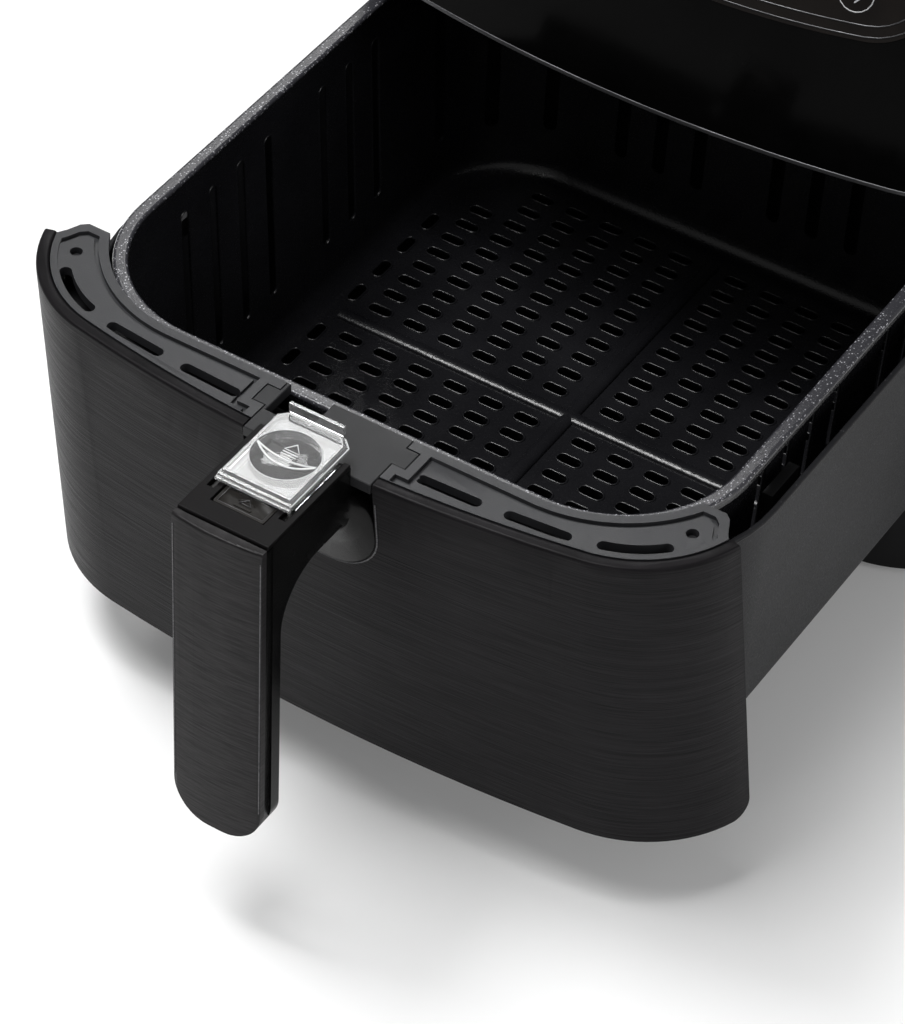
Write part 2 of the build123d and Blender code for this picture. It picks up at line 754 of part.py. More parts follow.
# Outer shell: sides and back in one piece, open where the fascia and the drawer go.
with BuildPart() as housing_shell:
    add(skin)
    add(skin_inside, mode=Mode.SUBTRACT)
    slab((-200, 200), (0, 400), (0, base_top + 0.3), Mode.SUBTRACT)
    with BuildSketch(upright(-200)):
        with BuildLine(Plane.XY):
            Polyline(
                (-10, 0),
                (side_foot_y, 0),
                (side_foot_y, panel_bottom),
                (side_top_y, trim_top),
                (side_top_y, 400),
                (-10, 400),
                close=True,
            )
        make_face()
    extrude(amount=400, mode=Mode.SUBTRACT)
    slab((-200, 200), (0, fascia_depth + 0.3), (fascia_bottom - 0.3, 400), Mode.SUBTRACT)
    slab((-75, 75), (300, 400), (grille_z - 30, grille_z + 30), Mode.SUBTRACT)
finish(housing_shell, "housing_shell")

# Vent grille let into the back wall.
with BuildPart() as rear_grille:
    add(skin)
    add(skin_inside, mode=Mode.SUBTRACT)
    with BuildSketch(cross(400)):
        with Locations((0, grille_z)):
            Rectangle(149.4, 59.4)
    extrude(amount=100, mode=Mode.INTERSECT)
    with BuildSketch(cross(400)):
        with Locations((0, grille_z)):
            with GridLocations(45, 7.2, 3, 7):
                SlotOverall(39, 3.6)
    extrude(amount=100, mode=Mode.SUBTRACT)
finish(rear_grille, "rear_grille")

# Touch panel outline: bowed foot and rounded corners, drawn on an upright plane.
touch_half = 100.0
touch_low = trim_top + 60.5
touch_high = trim_top + 129.0


def touch_plan(inset):
    """Outline of the touch panel, moved in by the inset."""
    half = touch_half - inset
    low = touch_low + inset
    high = touch_high - inset
    round_low = 26.0 - inset
    round_high = 12.0 - inset
    with BuildSketch(Plane.XY) as plan:
        with BuildLine(Plane.XY):
            ThreePointArc((0, low), (half / 2, low + 1.0), (half, low + 6.0))
            Line((half, low + 6.0), (half, high))
            Line((half, high), (0, high))
            mirror(about=Plane.YZ)
        make_face()
        fillet(plan.vertices().filter_by(lambda v: abs(v.X) > 1 and v.Y < low + 10), round_low)
        fillet(plan.vertices().filter_by(lambda v: v.Y > high - 0.5 and abs(v.X) > half - 0.5), round_high)
    return plan.sketch


# Ledge behind the touch panel that the glass is bonded to.
touch_seat = 1.3
with BuildPart() as touch_ledge:
    add(housing_block(touch_seat))
    add(skin_inside, mode=Mode.SUBTRACT)
    with BuildSketch(cross(0)):
        add(touch_plan(-1.5))
    extrude(amount=-140, mode=Mode.INTERSECT)

# Gloss fascia above the drawer, with a shallow seat for the touch panel.
with BuildPart() as front_fascia:
    add(skin)
    add(skin_inside, mode=Mode.SUBTRACT)
    slab((-200, 200), (fascia_depth, 400), (0, 400), Mode.SUBTRACT)
    slab((-200, 200), (0, 400), (0, fascia_bottom + edge_strip), Mode.SUBTRACT)
    with BuildSketch(cross(0)):
        add(touch_plan(-0.25))
    extrude(amount=-140, mode=Mode.SUBTRACT)
    add(touch_ledge.part)
finish(front_fascia, "front_fascia")

# Bright strip along the fascia's lower edge.
with BuildPart() as fascia_strip:
    add(housing_block(-0.25))
    add(skin_inside, mode=Mode.SUBTRACT)
    slab((-200, 200), (fascia_depth, 400), (0, 400), Mode.SUBTRACT)
    slab((-200, 200), (0, 400), (0, fascia_bottom), Mode.SUBTRACT)
    slab((-200, 200), (0, 400), (fascia_bottom + edge_strip, 400), Mode.SUBTRACT)
finish(fascia_strip, "fascia_strip")

# Touch panel: thin glass set into the fascia.
with BuildPart() as touch_panel:
    add(housing_block(-0.3))
    add(housing_block(touch_seat), mode=Mode.SUBTRACT)
    with BuildSketch(cross(0)):
        add(touch_plan(0))
    extrude(amount=-140, mode=Mode.INTERSECT)
finish(touch_panel, "touch_panel")

# Top cover: shallow dome with a rounded edge and a skirt that locates in the shell.
top_plan = housing_sections[-1][1:5]
with BuildPart() as top_cover:
    with BuildSketch(level(cover_bottom + 0.3)):
        add(housing_plan(*top_plan))
    with BuildSketch(level(housing_height)):
        add(housing_plan(130.5, housing_front + 41.5, 120.5, housing_back - 10.5, 47.5))
    loft(ruled=True)
    fillet(top_cover.edges().group_by(Axis.Z)[-1], 12.0)
    with BuildSketch(level(cover_bottom + 0.3)):
        add(housing_plan(130.0, housing_front + 38.5, 118.0, housing_back - 11, 47.0))
    extrude(amount=9.0, mode=Mode.SUBTRACT)
    with BuildSketch(level(cover_bottom + 0.3)):
        add(housing_plan(120.0, housing_front + 49.0, 118.0, housing_back - 21, 37.0))
    extrude(amount=19.5, mode=Mode.SUBTRACT)
finish(top_cover, "top_cover")

# Base: floor the drawer runs over, with a wall all round and a boss for the mains lead.
gland_x = 60.0
gland_z = 20.0
floor_z = 30.0
with BuildPart() as base_hollow:
    add(skin_inside)
    slab((-200, 200), (0, 400), (floor_z - 2.5, floor_z), Mode.SUBTRACT)

with BuildPart() as base_shell:
    add(skin)
    slab((-200, 200), (0, 400), (base_top, 400), Mode.SUBTRACT)
    add(base_hollow.part, mode=Mode.SUBTRACT)
    with BuildSketch(cross(400)):
        with Locations((gland_x, gland_z)):
            Circle(6.6)
    extrude(amount=100, mode=Mode.SUBTRACT)
finish(base_shell, "base_shell")

# Cover plate under the base, with the four feet below it.
with BuildPart() as base_plate:
    with BuildSketch(level(base_bottom)):
        inset = shell_wall + 0.4
        half, bow_y, corner_y, back_y, corner = housing_sections[0][1:]
        add(housing_plan(half - inset, bow_y + inset, corner_y, back_y - inset, corner - inset))
    extrude(amount=2.0)
finish(base_plate, "base_plate")

foot_x = 100.0
foot_front_y = 78.0
foot_back_y = 300.0
with BuildPart() as rubber_feet:
    for x in (-foot_x, foot_x):
        for y in (foot_front_y, foot_back_y):
            rod(x, y, 0, base_bottom, 9.0)
    chamfer(rubber_feet.edges().group_by(Axis.Z)[0], 0.8)
finish(rubber_feet, "rubber_feet")

# Gland for the mains lead, through the base's back wall.
gland_y = housing_back - 3.5
with BuildPart() as cord_gland:
    with BuildSketch(cross(gland_y + 2.2)):
        with Locations((gland_x, gland_z)):
            Circle(8.6)
    extrude(amount=1.7)
    with BuildSketch(cross(gland_y + 2.2)):
        with Locations((gland_x, gland_z)):
            Circle(6.3)
    extrude(amount=14)
    with BuildSketch(cross(gland_y + 2.2)):
        with Locations((gland_x, gland_z)):
            Circle(3.7)
    extrude(amount=14, mode=Mode.SUBTRACT)
finish(cord_gland, "cord_gland")

# Rails on the floor that the pan slides over.
with BuildPart() as guide_rails:
    for x in (-80, 80):
        slab((x - 4, x + 4), (80, 325), (floor_z, pan_bottom - 0.4))
        chamfer(guide_rails.edges().group_by(Axis.Z)[-1].filter_by(Axis.Y), 0.8)
finish(guide_rails, "guide_rails")

# Cavity liner: folded sheet steel round the drawer's space, with the air holes behind.
liner_half = 131.2
liner_wall = 0.8
liner_back = open_by + pan_back + 4.0
switch_x = 90.0
switch_z = trim_top - 58.0
probe_x = -118.0
probe_y = 300.0
with BuildPart() as cavity_liner:
    with BuildSketch(level(floor_z + 0.4)):
        with Locations((0, liner_back - 200)):
            RectangleRounded(2 * liner_half, 400, 28)
    extrude(amount=roof - floor_z - 0.4)
    with BuildSketch(level(floor_z)):
        with Locations((0, liner_back - liner_wall - 200)):
            RectangleRounded(2 * (liner_half - liner_wall), 400, 28 - liner_wall)
    extrude(amount=roof - floor_z - liner_wall, mode=Mode.SUBTRACT)
    slab((-200, 200), (-200, side_foot_y + 3), (0, 300), Mode.SUBTRACT)
    rod(fan_x, fan_y, roof - 5, roof + 5, 12.0, Mode.SUBTRACT)
    rod(probe_x, probe_y, roof - 5, roof + 5, 2.9, Mode.SUBTRACT)
    slab(
        (switch_x - 2.8, switch_x + 2.8),
        (liner_back - 5, liner_back + 5),
        (switch_z - 2.8, switch_z + 2.8),
        Mode.SUBTRACT,
    )
    with BuildSketch(cross(liner_back + 5)):
        with Locations((0, roof - 22)):
            with GridLocations(12, 9, 9, 3):
                SlotOverall(9, 4)
    extrude(amount=20, mode=Mode.SUBTRACT)
finish(cavity_liner, "cavity_liner")

# Mouth frame: heat-proof moulding between the fascia's lower edge and the liner's roof.
mouth_front = housing_front + 21.5
mouth_low = trim_top + 2.8
mouth_half = 122.0
mouth_corner_y = 79.0
with BuildPart() as mouth_frame:
    with BuildSketch(level(mouth_low)):
        add(bowed_band(mouth_half, mouth_front, mouth_corner_y, 28.0, 2.4, 0.0))
    extrude(amount=roof - 1.2 - mouth_low)
    with BuildSketch(level(fascia_bottom + 2.0)):
        add(housing_plan(mouth_half, housing_front + 9.2, front_corner_y + open_by + 4.4, 200, 44.0))
        add(housing_plan(mouth_half - 0.2, mouth_front + 0.2, mouth_corner_y, 200, 27.8), mode=Mode.SUBTRACT)
        with Locations((0, 200)):
            Rectangle(400, 260, mode=Mode.SUBTRACT)
    extrude(amount=2.0)
finish(mouth_frame, "mouth_frame")

# Reflector: inverted dish over the heater.
reflector_radius = 106.0
reflector_low = roof - 34.0
with BuildPart() as reflector:
    rod(fan_x, fan_y, reflector_low, roof - liner_wall - 0.4, reflector_radius)
    rod(fan_x, fan_y, reflector_low - 1, roof - liner_wall - 1.2, reflector_radius - 0.8, Mode.SUBTRACT)
    rod(fan_x, fan_y, roof - 10, roof + 5, 10.0, Mode.SUBTRACT)
finish(reflector, "reflector")

# Heating element: two joined rings of sheathed tube with terminals up through the roof.
element_z = roof - 27.0
tube_radius = 3.3
with BuildPart() as heating_element:
    with Locations((fan_x, centre_y + fan_y, element_z)):
        Torus(86.0, tube_radius)
        Torus(66.0, tube_radius)
    joint = Plane(origin=(fan_x, centre_y + fan_y - 86, element_z), x_dir=(1, 0, 0), z_dir=(0, 1, 0))
    with BuildSketch(joint):
        Circle(tube_radius)
    extrude(amount=20)
    for x in (-20, 20):
        rod(x, fan_y + 83.6, element_z - 1.0, roof - 2.4, tube_radius - 0.4)
finish(heating_element, "heating_element")

# Wire guard under the heater: rings on three bars.
guard_z = roof - 37.6
ring_radii = (100, 78, 56, 34, 14)
with BuildPart() as fan_guard:
    with BuildSketch(Plane((fan_x, centre_y + fan_y, guard_z))):
        Circle(ring_radii[0] + 1.1)
        for outer, inner in zip(ring_radii, ring_radii[1:] + (5,)):
            Circle(outer - 1.1, mode=Mode.SUBTRACT)
            Circle(inner + 1.1)
        with PolarLocations(0, 3, angular_range=180):
            Rectangle(2 * ring_radii[0], 2.4)
    extrude(amount=2.2)
finish(fan_guard, "fan_guard")

# ---------------------------------------------------------------- fan and motor, on one upright shaft
shaft_radius = 4.0
running = 0.05
fan_bottom = roof - 19.0
motor_low = roof + 32.0
motor_high = roof + 56.0
shaft_top = roof + 70.0


def blades(count, inner, outer, low, high, thick, lean):
    """Ring of upright blades about the fan's axis, leaning back from the radius."""
    for index in range(count):
        turn = index * 360 / count
        middle = (inner + outer) / 2
        spot = Location((fan_x, centre_y + fan_y, 0), (0, 0, turn))
        with Locations(spot * Location((middle, 0, (low + high) / 2), (0, 0, lean))):
            Box(outer - inner, thick, high - low)


# Convection fan: stamped disc with radial blades and a hub.
with BuildPart() as convection_fan:
    rod(fan_x, fan_y, fan_bottom + 11, fan_bottom + 12.2, 74.0)
    blades(12, 24.0, 72.0, fan_bottom, fan_bottom + 11.2, 1.0, 24)
    rod(fan_x, fan_y, fan_bottom + 3, fan_bottom + 15, 8.5)
    rod(fan_x, fan_y, fan_bottom, fan_bottom + 20, shaft_radius + 0.02, Mode.SUBTRACT)
finish(convection_fan, "convection_fan")

with BuildPart() as motor_shaft:
    rod(fan_x, fan_y, fan_bottom - 3, shaft_top, shaft_radius)
finish(motor_shaft, "motor_shaft")

# Nut on the shaft's end, under the convection fan's hub.
with BuildPart() as fan_nut:
    with BuildSketch(Plane((fan_x, centre_y + fan_y, fan_bottom - 1.2))):
        RegularPolygon(6.8, 6)
        Circle(shaft_radius + 0.02, mode=Mode.SUBTRACT)
    extrude(amount=4.0)
finish(fan_nut, "fan_nut")

# Cooling fan above the roof: it blows cool air past the motor and out of the back.
with BuildPart() as cooling_fan:
    rod(fan_x, fan_y, roof + 7, roof + 8.2, 54.0)
    blades(9, 14.0, 53.0, roof + 8, roof + 22, 1.2, 30)
    rod(fan_x, fan_y, roof + 7, roof + 24, 8.0)
    rod(fan_x, fan_y, roof + 4, roof + 29, shaft_radius + 0.02, Mode.SUBTRACT)
finish(cooling_fan, "cooling_fan")

with BuildPart() as rotor_core:
    rod(fan_x, fan_y, motor_low + 1, motor_high - 1, 15.4)
    rod(fan_x, fan_y, motor_low, motor_high, shaft_radius + 0.02, Mode.SUBTRACT)
finish(rotor_core, "rotor_core")

# Laminated stator with the rotor's bore and a leg for the winding.
with BuildPart() as motor_stator:
    slab((-34, 34), (fan_y - 25, fan_y + 25), (motor_low, motor_high))
    slab((-34, 34), (fan_y + 25, fan_y + 34), (motor_low, motor_high))
    slab((-14, 14), (fan_y + 20, fan_y + 27), (motor_low - 1, motor_high + 1), Mode.SUBTRACT)
    rod(fan_x, fan_y, motor_low - 1, motor_high + 1, 15.9, Mode.SUBTRACT)
finish(motor_stator, "motor_stator")

# Winding round the stator's outer leg.
with BuildPart() as motor_coil:
    slab((-12, 12), (fan_y + 21, fan_y + 47), (motor_low - 9, motor_high + 9))
    slab((-20, 20), (fan_y + 26.6, fan_y + 34.4), (motor_low - 0.4, motor_high + 0.4), Mode.SUBTRACT)
    fillet(motor_coil.edges().filter_by(Axis.Z).sort_by(Axis.Y)[-2:], 4.0)
finish(motor_coil, "motor_coil")

# Motor bracket: plate on four legs over the cooling fan, with the lower bearing's seat.
bracket_low = motor_low - 2.0
with BuildPart() as motor_bracket:
    slab((-62, 62), (fan_y - 36, fan_y + 18), (bracket_low, motor_low))
    for x in (-60, 60):
        for y in (fan_y - 30, fan_y + 12):
            slab((x - 2, x + 2), (y - 6, y + 6), (roof, bracket_low))
            slab((x - 2, x + 8) if x > 0 else (x - 8, x + 2), (y - 6, y + 6), (roof, roof + 1.6))
    rod(fan_x, fan_y, bracket_low - 6, bracket_low, 11.0)
    rod(fan_x, fan_y, bracket_low - 8, motor_low + 2, 8.0, Mode.SUBTRACT)
finish(motor_bracket, "motor_bracket")

with BuildPart() as lower_bearing:
    rod(fan_x, fan_y, bracket_low - 5, motor_low - 0.5, 8.0)
    rod(fan_x, fan_y, bracket_low - 8, motor_low + 2, shaft_radius + running, Mode.SUBTRACT)
finish(lower_bearing, "lower_bearing")

# Bridge over the motor with the upper bearing.
with BuildPart() as motor_bridge:
    slab((-33, 33), (fan_y - 11, fan_y + 11), (motor_high + 5, motor_high + 6.5))
    for low, high in ((-33, -31.5), (31.5, 33)):
        slab((low, high), (fan_y - 11, fan_y + 11), (motor_high, motor_high + 6.5))
    rod(fan_x, fan_y, motor_high + 3, motor_high + 8, 8.0, Mode.SUBTRACT)
finish(motor_bridge, "motor_bridge")

with BuildPart() as upper_bearing:
    rod(fan_x, fan_y, motor_high + 3.5, motor_high + 8, 8.0)
    rod(fan_x, fan_y, motor_high + 2, motor_high + 9, shaft_radius + running, Mode.SUBTRACT)
finish(upper_bearing, "upper_bearing")

# Clips that hang the heating element from the reflector.
with BuildPart() as element_clips:
    for turn in (30, 150, 270):
        spot = Location((fan_x, centre_y + fan_y, 0), (0, 0, turn))
        with Locations(spot * Location((94.0, 0, (element_z + roof - 2.0) / 2))):
            Box(1.2, 8, roof - 2.0 - element_z)
        with Locations(spot * Location((92.0, 0, element_z))):
            Box(4.2, 8, 1.2)
finish(element_clips, "element_clips")

# Temperature probe and thermal fuse, through the roof behind the reflector.
with BuildPart() as temperature_probe:
    rod(probe_x, probe_y, roof - 24, roof + 9, 2.4)
    rod(probe_x, probe_y, roof, roof + 3, 5.0)
finish(temperature_probe, "temperature_probe")

with BuildPart() as thermal_fuse:
    slab((84, 112), (236, 244), (roof, roof + 6))
finish(thermal_fuse, "thermal_fuse")

# Power board on the roof, with its relay, capacitor and terminal block.
with BuildPart() as power_board:
    slab((-122, -72), (150, 250), (roof + 8, roof + 9.6))
    slab((-116, -98), (160, 188), (roof + 9.6, roof + 27))
    slab((-90, -78), (196, 240), (roof + 9.6, roof + 20))
    rod(-106, 220, roof + 9.6, roof + 32, 8.0)
    for x in (-118, -76):
        for y in (154, 246):
            rod(x, y, roof, roof + 8, 2.5)
finish(power_board, "power_board")

# Display board, leaning behind the touch panel.
fascia_lean = -14.8
board_z = trim_top + 94.0
with BuildPart() as display_board:
    with Locations(Location((0, centre_y + housing_front + 36.0, board_z), (fascia_lean, 0, 0))):
        Box(150, 1.6, 50)
    with Locations(Location((0, centre_y + housing_front + 38.6, board_z), (fascia_lean, 0, 0))):
        Box(60, 4.0, 30)
finish(display_board, "display_board")

# Drawer switch behind the liner, worked by the pan when the drawer is home.
with BuildPart() as drawer_switch:
    slab((switch_x - 10, switch_x + 10), (liner_back + 0.2, liner_back + 10), (switch_z - 7, switch_z + 7))
    hole = (switch_z - 2.6, switch_z + 2.6)
    slab((switch_x - 2.6, switch_x + 2.6), (liner_back, liner_back + 8), hole, Mode.SUBTRACT)
finish(drawer_switch, "drawer_switch")

with BuildPart() as switch_plunger:
    tip = liner_back - 3.2
    slab((switch_x - 2.4, switch_x + 2.4), (tip, liner_back + 5.4), (switch_z - 2.4, switch_z + 2.4))
    fillet(switch_plunger.faces().sort_by(Axis.Y)[0].edges(), 1.0)
finish(switch_plunger, "switch_plunger")

# Screws through the base plate into the base.
with BuildPart() as base_screws:
    for x in (-112, 112):
        for y in (110, 190, 270):
            rod(x, y, base_bottom - 1.2, base_bottom, 3.4)
finish(base_screws, "base_screws")
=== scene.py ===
"""Looks of the square-basket air fryer: finishes, fine pieces, floor, lamps and camera."""

import json
from functools import partial
from math import cos, hypot, radians, sin, tan

import bmesh
import bpy
from mathutils import Matrix, Vector
from mathutils.bvhtree import BVHTree


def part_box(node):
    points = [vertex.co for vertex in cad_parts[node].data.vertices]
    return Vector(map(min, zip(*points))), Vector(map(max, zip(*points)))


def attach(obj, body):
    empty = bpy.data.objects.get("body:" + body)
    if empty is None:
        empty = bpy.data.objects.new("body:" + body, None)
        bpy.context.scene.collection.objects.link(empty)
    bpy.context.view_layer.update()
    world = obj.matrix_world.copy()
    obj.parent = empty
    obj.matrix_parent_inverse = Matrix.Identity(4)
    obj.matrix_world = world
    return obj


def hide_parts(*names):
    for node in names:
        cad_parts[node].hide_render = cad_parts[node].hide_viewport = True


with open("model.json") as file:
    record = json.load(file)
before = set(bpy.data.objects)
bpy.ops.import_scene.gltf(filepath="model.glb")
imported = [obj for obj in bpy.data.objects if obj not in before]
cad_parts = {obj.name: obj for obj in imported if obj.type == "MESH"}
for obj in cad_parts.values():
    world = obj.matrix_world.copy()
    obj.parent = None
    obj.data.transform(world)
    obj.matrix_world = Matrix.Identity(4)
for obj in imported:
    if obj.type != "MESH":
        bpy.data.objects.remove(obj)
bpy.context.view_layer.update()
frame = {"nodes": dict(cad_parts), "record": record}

basket_low, basket_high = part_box("basket")
rim_top = basket_high[2]
trim_above_rim = 0.00465
trim_top = rim_top + trim_above_rim

# The drawer's middle lies a little behind the middle of the basket's own box.
middle_behind = 0.01075
plan_y = (basket_low[1] + basket_high[1]) / 2 + middle_behind
nodes = frame["nodes"]
scene = bpy.context.scene


# ---------------------------------------------------------------- finishes
def add_node(tree, kind, inputs=(), **settings):
    """Add a node with its settings, and give each input a value or a link."""
    made = tree.nodes.new(kind)
    for name, value in settings.items():
        setattr(made, name, value)
    for name, value in dict(inputs).items():
        if isinstance(value, bpy.types.NodeSocket):
            tree.links.new(value, made.inputs[name])
        else:
            made.inputs[name].default_value = value
    return made


def shade(tree, kind, inputs=(), **settings):
    """Add a shader node by its short name."""
    return add_node(tree, "ShaderNode" + kind, inputs, **settings)


def start_finish(name, **sockets):
    """A new material: returns it, its tree, its Principled shader and object coordinates."""
    finish = bpy.data.materials.new(name)
    finish.use_nodes = True
    tree = finish.node_tree
    shader = tree.nodes["Principled BSDF"]
    for socket, value in sockets.items():
        shader.inputs[socket.replace("_", " ")].default_value = value
    place = shade(tree, "TexCoord").outputs["Object"]
    return finish, tree, shader, place


def noise(tree, place, stretch, detail=3.0, rough=0.55):
    """Noise with its own number of features per metre along X, Y and Z."""
    laid = shade(tree, "Mapping", {"Vector": place, "Scale": stretch}).outputs["Vector"]
    made = shade(tree, "TexNoise", {"Vector": laid, "Scale": 1.0, "Detail": detail, "Roughness": rough})
    return made.outputs["Fac"]


def spread(tree, value, low, high, start=0.3, end=0.7):
    """Stretch a value from start..end to low..high."""
    ranges = {"Value": value, "From Min": start, "From Max": end, "To Min": low, "To Max": high}
    return shade(tree, "MapRange", ranges, clamp=True).outputs["Result"]


def tint(tree, value, dark, light):
    """Colour that runs from dark to light as the value goes from 0 to 1."""
    mixed = shade(tree, "Mix", {"Factor": value}, data_type="RGBA")
    mixed.inputs[6].default_value = (*dark, 1)
    mixed.inputs[7].default_value = (*light, 1)
    return mixed.outputs[2]


def relief(tree, shader, height, depth, strength=1.0):
    """Bump the shader with a height, in metres of depth."""
    bump = shade(tree, "Bump", {"Height": height, "Distance": depth, "Strength": strength})
    tree.links.new(bump.outputs["Normal"], shader.inputs["Normal"])


def moulded(name, dark, light, rough, grain, depth, specular=0.5, coat=0.0):
    """Moulded plastic: a fine grain in its height, and clouds in its colour and gloss."""
    finish, tree, shader, place = start_finish(name, Specular_IOR_Level=specular, Coat_Weight=coat)
    cloud = noise(tree, place, (45, 45, 45))
    fine = noise(tree, place, (grain, grain, grain), 2.0)
    tree.links.new(tint(tree, spread(tree, cloud, 0, 1), dark, light), shader.inputs["Base Color"])
    tree.links.new(spread(tree, cloud, rough * 0.88, rough * 1.12), shader.inputs["Roughness"])
    relief(tree, shader, fine, depth)
    return finish


def brushed(name, dark, light, rough, lines, metallic=0.0, specular=0.5, depth=0.00006):
    """Brushed surface: long broken lines, with features per metre along each axis."""
    finish, tree, shader, place = start_finish(name, Metallic=metallic, Specular_IOR_Level=specular)
    long_lines = noise(tree, place, lines, 4.0, 0.6)
    finer = noise(tree, place, [2.3 * n for n in lines], 2.0)
    both = shade(tree, "Math", {0: long_lines, 1: finer}, operation="ADD").outputs[0]
    tone = spread(tree, both, 0, 1, 0.7, 1.3)
    tree.links.new(tint(tree, tone, dark, light), shader.inputs["Base Color"])
    tree.links.new(spread(tree, both, rough * 1.25, rough * 0.8, 0.7, 1.3), shader.inputs["Roughness"])
    relief(tree, shader, both, depth)
    return finish


def coated(name, dark, light, rough, fleck, depth=0.00009, specular=0.5, flecks=0.08, bare_below=None):
    """Non-stick coating: an orange-peel surface with light flecks, only above a height if one is given."""
    finish, tree, shader, place = start_finish(name, Specular_IOR_Level=specular)
    cloud = noise(tree, place, (30, 30, 30))
    peel = noise(tree, place, (1500, 1500, 1500), 2.0)
    laid = shade(tree, "Mapping", {"Vector": place, "Scale": (1400, 1400, 1400)}).outputs["Vector"]
    cells = shade(tree, "TexVoronoi", {"Vector": laid, "Scale": 1.0})
    grey = shade(tree, "SeparateColor", {"Color": cells.outputs["Color"]}).outputs[0]
    chosen = spread(tree, grey, 0, 1, 1 - flecks, 1 - flecks * 0.5)
    near = spread(tree, cells.outputs["Distance"], 1, 0, 0.2, 0.45)
    lit = shade(tree, "Math", {0: chosen, 1: near}, operation="MULTIPLY").outputs[0]
    base = tint(tree, spread(tree, cloud, 0, 1), dark, light)
    if bare_below is not None:
        height = shade(tree, "SeparateXYZ", {"Vector": place}).outputs["Z"]
        edge = spread(tree, height, 0, 1, bare_below, bare_below + 0.0006)
        lit = shade(tree, "Math", {0: lit, 1: edge}, operation="MULTIPLY").outputs[0]
        # Above the height the colour turns three times lighter, and only there does it take the flecks.
        lighter_above = shade(tree, "Mix", {"Factor": edge}, data_type="RGBA")
        tree.links.new(base, lighter_above.inputs[6])
        lighter_above.inputs[7].default_value = (*[3 * part for part in light], 1)
        base = lighter_above.outputs[2]
    mixed = shade(tree, "Mix", {"Factor": lit}, data_type="RGBA")
    tree.links.new(base, mixed.inputs[6])
    mixed.inputs[7].default_value = (*fleck, 1)
    tree.links.new(mixed.outputs[2], shader.inputs["Base Color"])
    tree.links.new(spread(tree, peel, rough * 0.85, rough * 1.15), shader.inputs["Roughness"])
    relief(tree, shader, peel, depth)
    return finish


def sheet_metal(name, dark, light, rough, lines=(60, 60, 60), depth=0.00002):
    """Bare sheet metal with a rolled grain."""
    return brushed(name, dark, light, rough, lines, 1.0, 0.5, depth)


def clear(name, tone, rough, feature):
    """Clear plastic with a faint smear in its gloss and its surface."""
    finish, tree, shader, place = start_finish(name, Transmission_Weight=0.92, IOR=1.49, Base_Color=tone)
    smear = noise(tree, place, (feature, feature, feature))
    tree.links.new(spread(tree, smear, *rough), shader.inputs["Roughness"])
    relief(tree, shader, smear, 0.0001, 0.4)
    return finish


# Brushed and moulded blacks and greys of the drawer, the handle and the housing.
brushed_black = brushed(
    "brushed_black", (0.0025, 0.0023, 0.0026), (0.013, 0.012, 0.0133), 0.4, (22, 22, 1300), specular=0.07
)
grip_brushed = brushed(
    "grip_brushed", (0.005, 0.0045, 0.005), (0.02, 0.0185, 0.0195), 0.36, (60, 60, 900), specular=0.14
)
satin_grey = moulded(
    "satin_grey", (0.020, 0.0205, 0.0225), (0.032, 0.0325, 0.0355), 0.42, 2500, 0.00004, 0.35
)
plate_grey = moulded(
    "plate_grey", (0.010, 0.0102, 0.0112), (0.018, 0.0183, 0.0198), 0.42, 2500, 0.00004, 0.25
)
matte_black = moulded(
    "matte_black", (0.0035, 0.0035, 0.004), (0.007, 0.007, 0.008), 0.5, 1800, 0.00005, 0.2
)
handle_black = moulded(
    "handle_black", (0.0015, 0.0015, 0.0015), (0.003, 0.003, 0.003), 0.25, 700, 0.00002, 0.12
)
deck_black = moulded(
    "deck_black", (0.0025, 0.0023, 0.0025), (0.006, 0.0055, 0.0058), 0.33, 1500, 0.00003, 0.05
)
button_gloss = moulded(
    "button_gloss", (0.006, 0.0055, 0.005), (0.014, 0.0125, 0.011), 0.42, 300, 0.00004, 0.15
)
gloss_black = moulded(
    "gloss_black", (0.0008, 0.0008, 0.0008), (0.0015, 0.0015, 0.0015), 0.1, 120, 0.00001, 0.05
)
touch_glass = moulded("touch_glass", (0.004, 0.003, 0.0025), (0.008, 0.006, 0.005), 0.08, 80, 0.00001, 0.12)
print_white = moulded("print_white", (0.45, 0.45, 0.46), (0.55, 0.55, 0.56), 0.5, 2500, 0.00001)
clear_plastic = clear("clear_plastic", (0.9, 0.905, 0.91, 1), (0.02, 0.09), 220)
# White frosted plastic: the guard's moulded lift mark, and painted highlight on the guard's edges and dish
# ridges.
frosted_and_painted_highlight = moulded("frosted_and_painted_highlight", (0.6, 0.605, 0.61), (0.8, 0.805, 0.81), 0.25, 900, 0.00002, 0.5, 0.3)

# Non-stick coatings; the basket's flecks stay on its rim.
fleck_depth = 0.0016
pan_coating = coated(
    "pan_coating", (0.0095, 0.0095, 0.0105), (0.014, 0.014, 0.0155), 0.45, (0.06, 0.06, 0.065), specular=0.1
)
basket_coating = coated(
    "basket_coating", (0.005, 0.005, 0.006), (0.009, 0.009, 0.0105), 0.25, (0.45, 0.45, 0.48),
    specular=0.5, flecks=0.35, bare_below=rim_top - fleck_depth,
)

# Metals.
steel = sheet_metal("steel", (0.42, 0.42, 0.43), (0.62, 0.62, 0.63), 0.3, (900, 60, 900))
dark_steel = sheet_metal("dark_steel", (0.06, 0.06, 0.065), (0.11, 0.11, 0.115), 0.35)
bright_trim = sheet_metal("bright_trim", (0.5, 0.5, 0.52), (0.62, 0.62, 0.64), 0.16, (20, 20, 900))
dull_strip = sheet_metal("dull_strip", (0.07, 0.07, 0.073), (0.14, 0.14, 0.145), 0.4, (20, 20, 900))
element_sheath = sheet_metal("element_sheath", (0.12, 0.11, 0.10), (0.3, 0.28, 0.25), 0.5, (300, 300, 300))
fan_aluminium = sheet_metal("fan_aluminium", (0.6, 0.6, 0.61), (0.75, 0.75, 0.76), 0.35, (300, 300, 60))
laminations = sheet_metal("laminations", (0.16, 0.16, 0.17), (0.4, 0.4, 0.41), 0.4, (20, 20, 2000))
